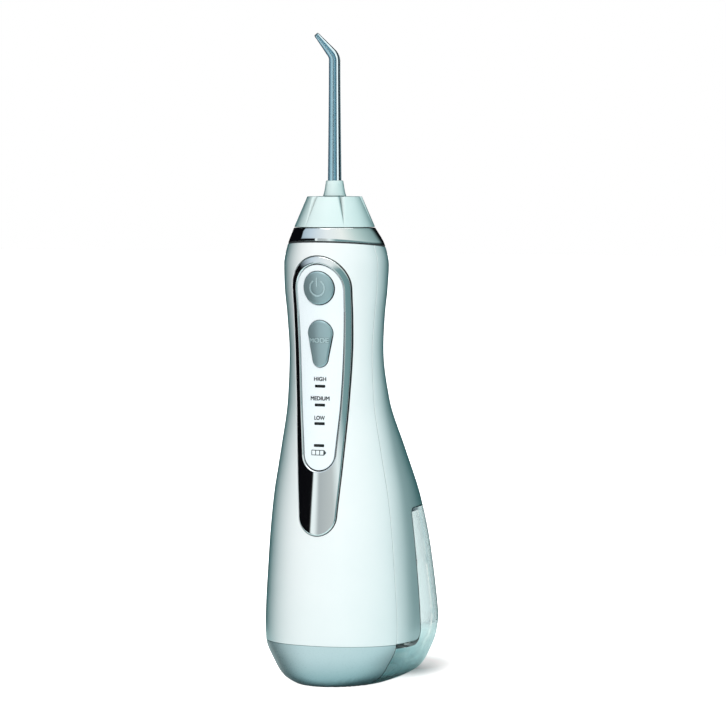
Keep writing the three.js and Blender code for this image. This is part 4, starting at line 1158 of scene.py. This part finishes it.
def studio():
    """White to the camera. The object gets tones by bearing: low and high ones for mirror reflections, fill
    for matt surfaces, and others through clear parts."""
    world = bpy.data.worlds.new("studio")
    bpy.context.scene.world = world
    world.use_nodes = True
    tree = world.node_tree
    tree.nodes.clear()
    away = node(tree, "SeparateXYZ", {0: node(tree, "TexCoord").outputs["Generated"]}).outputs
    front = node(tree, "Math", {0: away["Y"], 1: -1.0}, operation="MULTIPLY").outputs[0]
    angle = node(tree, "Math", {0: away["X"], 1: front}, operation="ARCTAN2").outputs[0]
    inputs = {0: angle, 1: 1 / (2 * math.pi), 2: 0.5}
    round_share = node(tree, "Math", inputs, operation="MULTIPLY_ADD").outputs[0]
    low = ramp(tree, round_share, [
        (-180, DARK), (-31, DARK),
        (-29.5, (0.86, 0.93, 0.93)), (-26, (0.86, 0.93, 0.93)),
        (-22, (0.42, 0.46, 0.47)), (-4, (0.52, 0.56, 0.56)),
        (6, (0.80, 0.88, 0.88)), (22, (0.19, 0.32, 0.33)),
        (60, (0.14, 0.26, 0.27)), (100, (0.10, 0.19, 0.20)),
        (135, (0.01, 0.02, 0.02)), (180, DARK)])
    high = ramp(tree, round_share, [
        (-180, DARK), (-76, DARK),
        (-73, (0.42, 0.52, 0.60)), (-45, (0.58, 0.68, 0.76)),
        (0, (0.84, 0.88, 0.89)), (40, (0.88, 0.91, 0.88)),
        (80, (0.55, 0.68, 0.66)), (110, (0.38, 0.52, 0.51)),
        (150, (0.22, 0.34, 0.34)), (170, (0.01, 0.02, 0.02)),
        (180, DARK)])
    sheen = blend(tree, remap(tree, away["Z"], 0.08, 0.28, 0, 1), low, high)
    sheen = blend(tree, remap(tree, away["Z"], 0.8, 0.95, 0, 1), sheen, (0.9, 0.95, 0.96))
    fill = ramp(tree, round_share, [
        (-180, (1.05, 1.05, 1.05)), (-140, (0.80, 0.84, 0.84)),
        (-112, (0.07, 0.18, 0.19)),
        (-52, (0.07, 0.18, 0.19)), (-33, (0.95, 1.00, 1.00)),
        (-12, (1.85, 1.81, 1.80)), (10, (1.85, 1.81, 1.80)),
        (30, (1.02, 1.10, 1.10)), (55, (0.43, 0.66, 0.67)),
        (90, (0.32, 0.56, 0.57)), (135, (0.30, 0.50, 0.52)),
        (165, (1.00, 1.02, 1.02))])
    through = ramp(tree, round_share, [
        (-180, (0.95, 1.10, 1.12)), (-147, (1.2, 1.25, 1.25)),
        (-143, (2.6, 2.1, 1.9)), (-133, (2.6, 2.1, 1.9)),
        (-130, (0.01, 0.015, 0.02)), (-112, (0.01, 0.015, 0.02)),
        (-102, (0.34, 0.42, 0.44)),
        (-40, (0.85, 0.92, 0.92)), (60, (0.85, 0.92, 0.92)),
        (100, (0.12, 0.18, 0.22)), (165, (0.16, 0.24, 0.30)),
        (176, (0.75, 0.90, 0.95)), (180, (0.95, 1.10, 1.12))])
    path = node(tree, "LightPath").outputs
    colour = blend(tree, path["Is Glossy Ray"], fill, sheen)
    colour = blend(tree, path["Is Transmission Ray"], colour, through)
    colour = blend(tree, path["Is Camera Ray"], colour, (1, 1, 1))
    background = node(tree, "Background", {"Color": colour, "Strength": 1.0})
    tree.links.new(background.outputs[0], node(tree, "OutputWorld").inputs[0])


def soft_box(name, place, size, power, aim=(0, 0, 0.12)):
    light = bpy.data.lights.new(name, "AREA")
    light.shape = "RECTANGLE"
    light.size, light.size_y = size
    light.energy = power
    lamp = bpy.data.objects.new(name, light)
    bpy.context.scene.collection.objects.link(lamp)
    lamp.location = place
    lamp.rotation_euler = (Vector(aim) - Vector(place)).to_track_quat("-Z", "Y").to_euler()


CAMERA_BEARING = math.radians(24)


def pale_floor():
    """A white floor, in metres. It glows to the camera except in an oval beside the foot, where the object's
    own soft shadow shows. To all other rays it ends a short way from the object."""
    mesh = bpy.data.meshes.new("floor")
    reach = 8.0
    corners = [(-reach, -reach, 0), (reach, -reach, 0), (reach, reach, 0), (-reach, reach, 0)]
    mesh.from_pydata(corners, [], [(0, 1, 2, 3)])
    thing = bpy.data.objects.new("floor", mesh)
    bpy.context.scene.collection.objects.link(thing)
    material, tree, shader = blank("pale_floor")
    place = node(tree, "TexCoord").outputs["Object"]
    away = node(tree, "VectorMath", {0: place}, operation="LENGTH").outputs["Value"]
    inputs = {"Vector": place, "Location": (0.0085, 0.078, 0), "Scale": (0.028, 0.055, 1),
              "Rotation": (0, 0, CAMERA_BEARING)}
    foot = node(tree, "Mapping", inputs, vector_type="TEXTURE").outputs[0]
    beside = node(tree, "VectorMath", {0: foot}, operation="LENGTH").outputs["Value"]
    patches = remap(tree, noise(tree, 2.0), 0.3, 0.7, 0, 1)
    tone = blend(tree, patches, (0.96, 0.86, 0.85), (0.94, 0.845, 0.835))
    seen = node(tree, "LightPath").outputs["Is Camera Ray"]
    tone = blend(tree, seen, (0.75, 0.88, 0.88), tone)
    outside = remap(tree, beside, 0.2, 1.25, 0, 1)
    glow = node(tree, "Math", {0: outside, 1: seen}, operation="MULTIPLY").outputs[0]
    plug(tree, shader, Base_Color=tone, Roughness=0.7, Specular_IOR_Level=0.1, Emission_Color=(1, 1, 1, 1),
         Emission_Strength=glow)
    far = remap(tree, away, 0.16, 0.26, 0, 1)
    other = node(tree, "Math", {0: 1.0, 1: seen}, operation="SUBTRACT").outputs[0]
    unseen = node(tree, "Math", {0: far, 1: other}, operation="MULTIPLY").outputs[0]
    mixed = node(tree, "MixShader", {0: unseen, 1: shader.outputs[0],
                                     2: node(tree, "BsdfTransparent").outputs[0]})
    tree.links.new(mixed.outputs[0], tree.nodes["Material Output"].inputs[0])
    mesh.materials.append(material)


def camera():
    """A long lens, in front and to the right of the object, its axis a little below and beside it."""
    distance, height = 1.73, 0.235
    yaw, pitch = math.radians(0.426583), math.radians(-2.933823)
    ahead = Vector((-math.sin(CAMERA_BEARING), math.cos(CAMERA_BEARING), 0))
    right = Vector((math.cos(CAMERA_BEARING), math.sin(CAMERA_BEARING), 0))
    level = ahead * math.cos(yaw) + right * math.sin(yaw)
    look = level * math.cos(pitch) + Vector((0, 0, math.sin(pitch)))
    lens = bpy.data.cameras.new("camera")
    lens.lens = 188.5
    lens.sensor_width = 36
    lens.clip_end = 50
    eye = bpy.data.objects.new("camera", lens)
    bpy.context.scene.collection.objects.link(eye)
    eye.location = -ahead * distance + Vector((0, 0, height))
    eye.rotation_euler = look.to_track_quat("-Z", "Y").to_euler()
    bpy.context.scene.camera = eye


STAGES = (front_shell, rear_shell, recess_wall, cap_shell, tank_skin, tank_front, chrome_ring, ring_gasket,
          bezel, panel_gap_shade, panel, buttons, power_symbol, windows, labels, battery_icon, knob, collar, tip,
          fill_door, hinge_bars, back_details, dress_cad_nodes, studio, pale_floor, camera)
for stage in STAGES:
    stage()
soft_box("key", (-0.2, -1.35, 1.7), (0.9, 0.9), 2.2)
soft_box("top", (0.1, 0.1, 1.9), (1.4, 1.4), 14)
bpy.context.scene.view_settings.view_transform = "Standard"
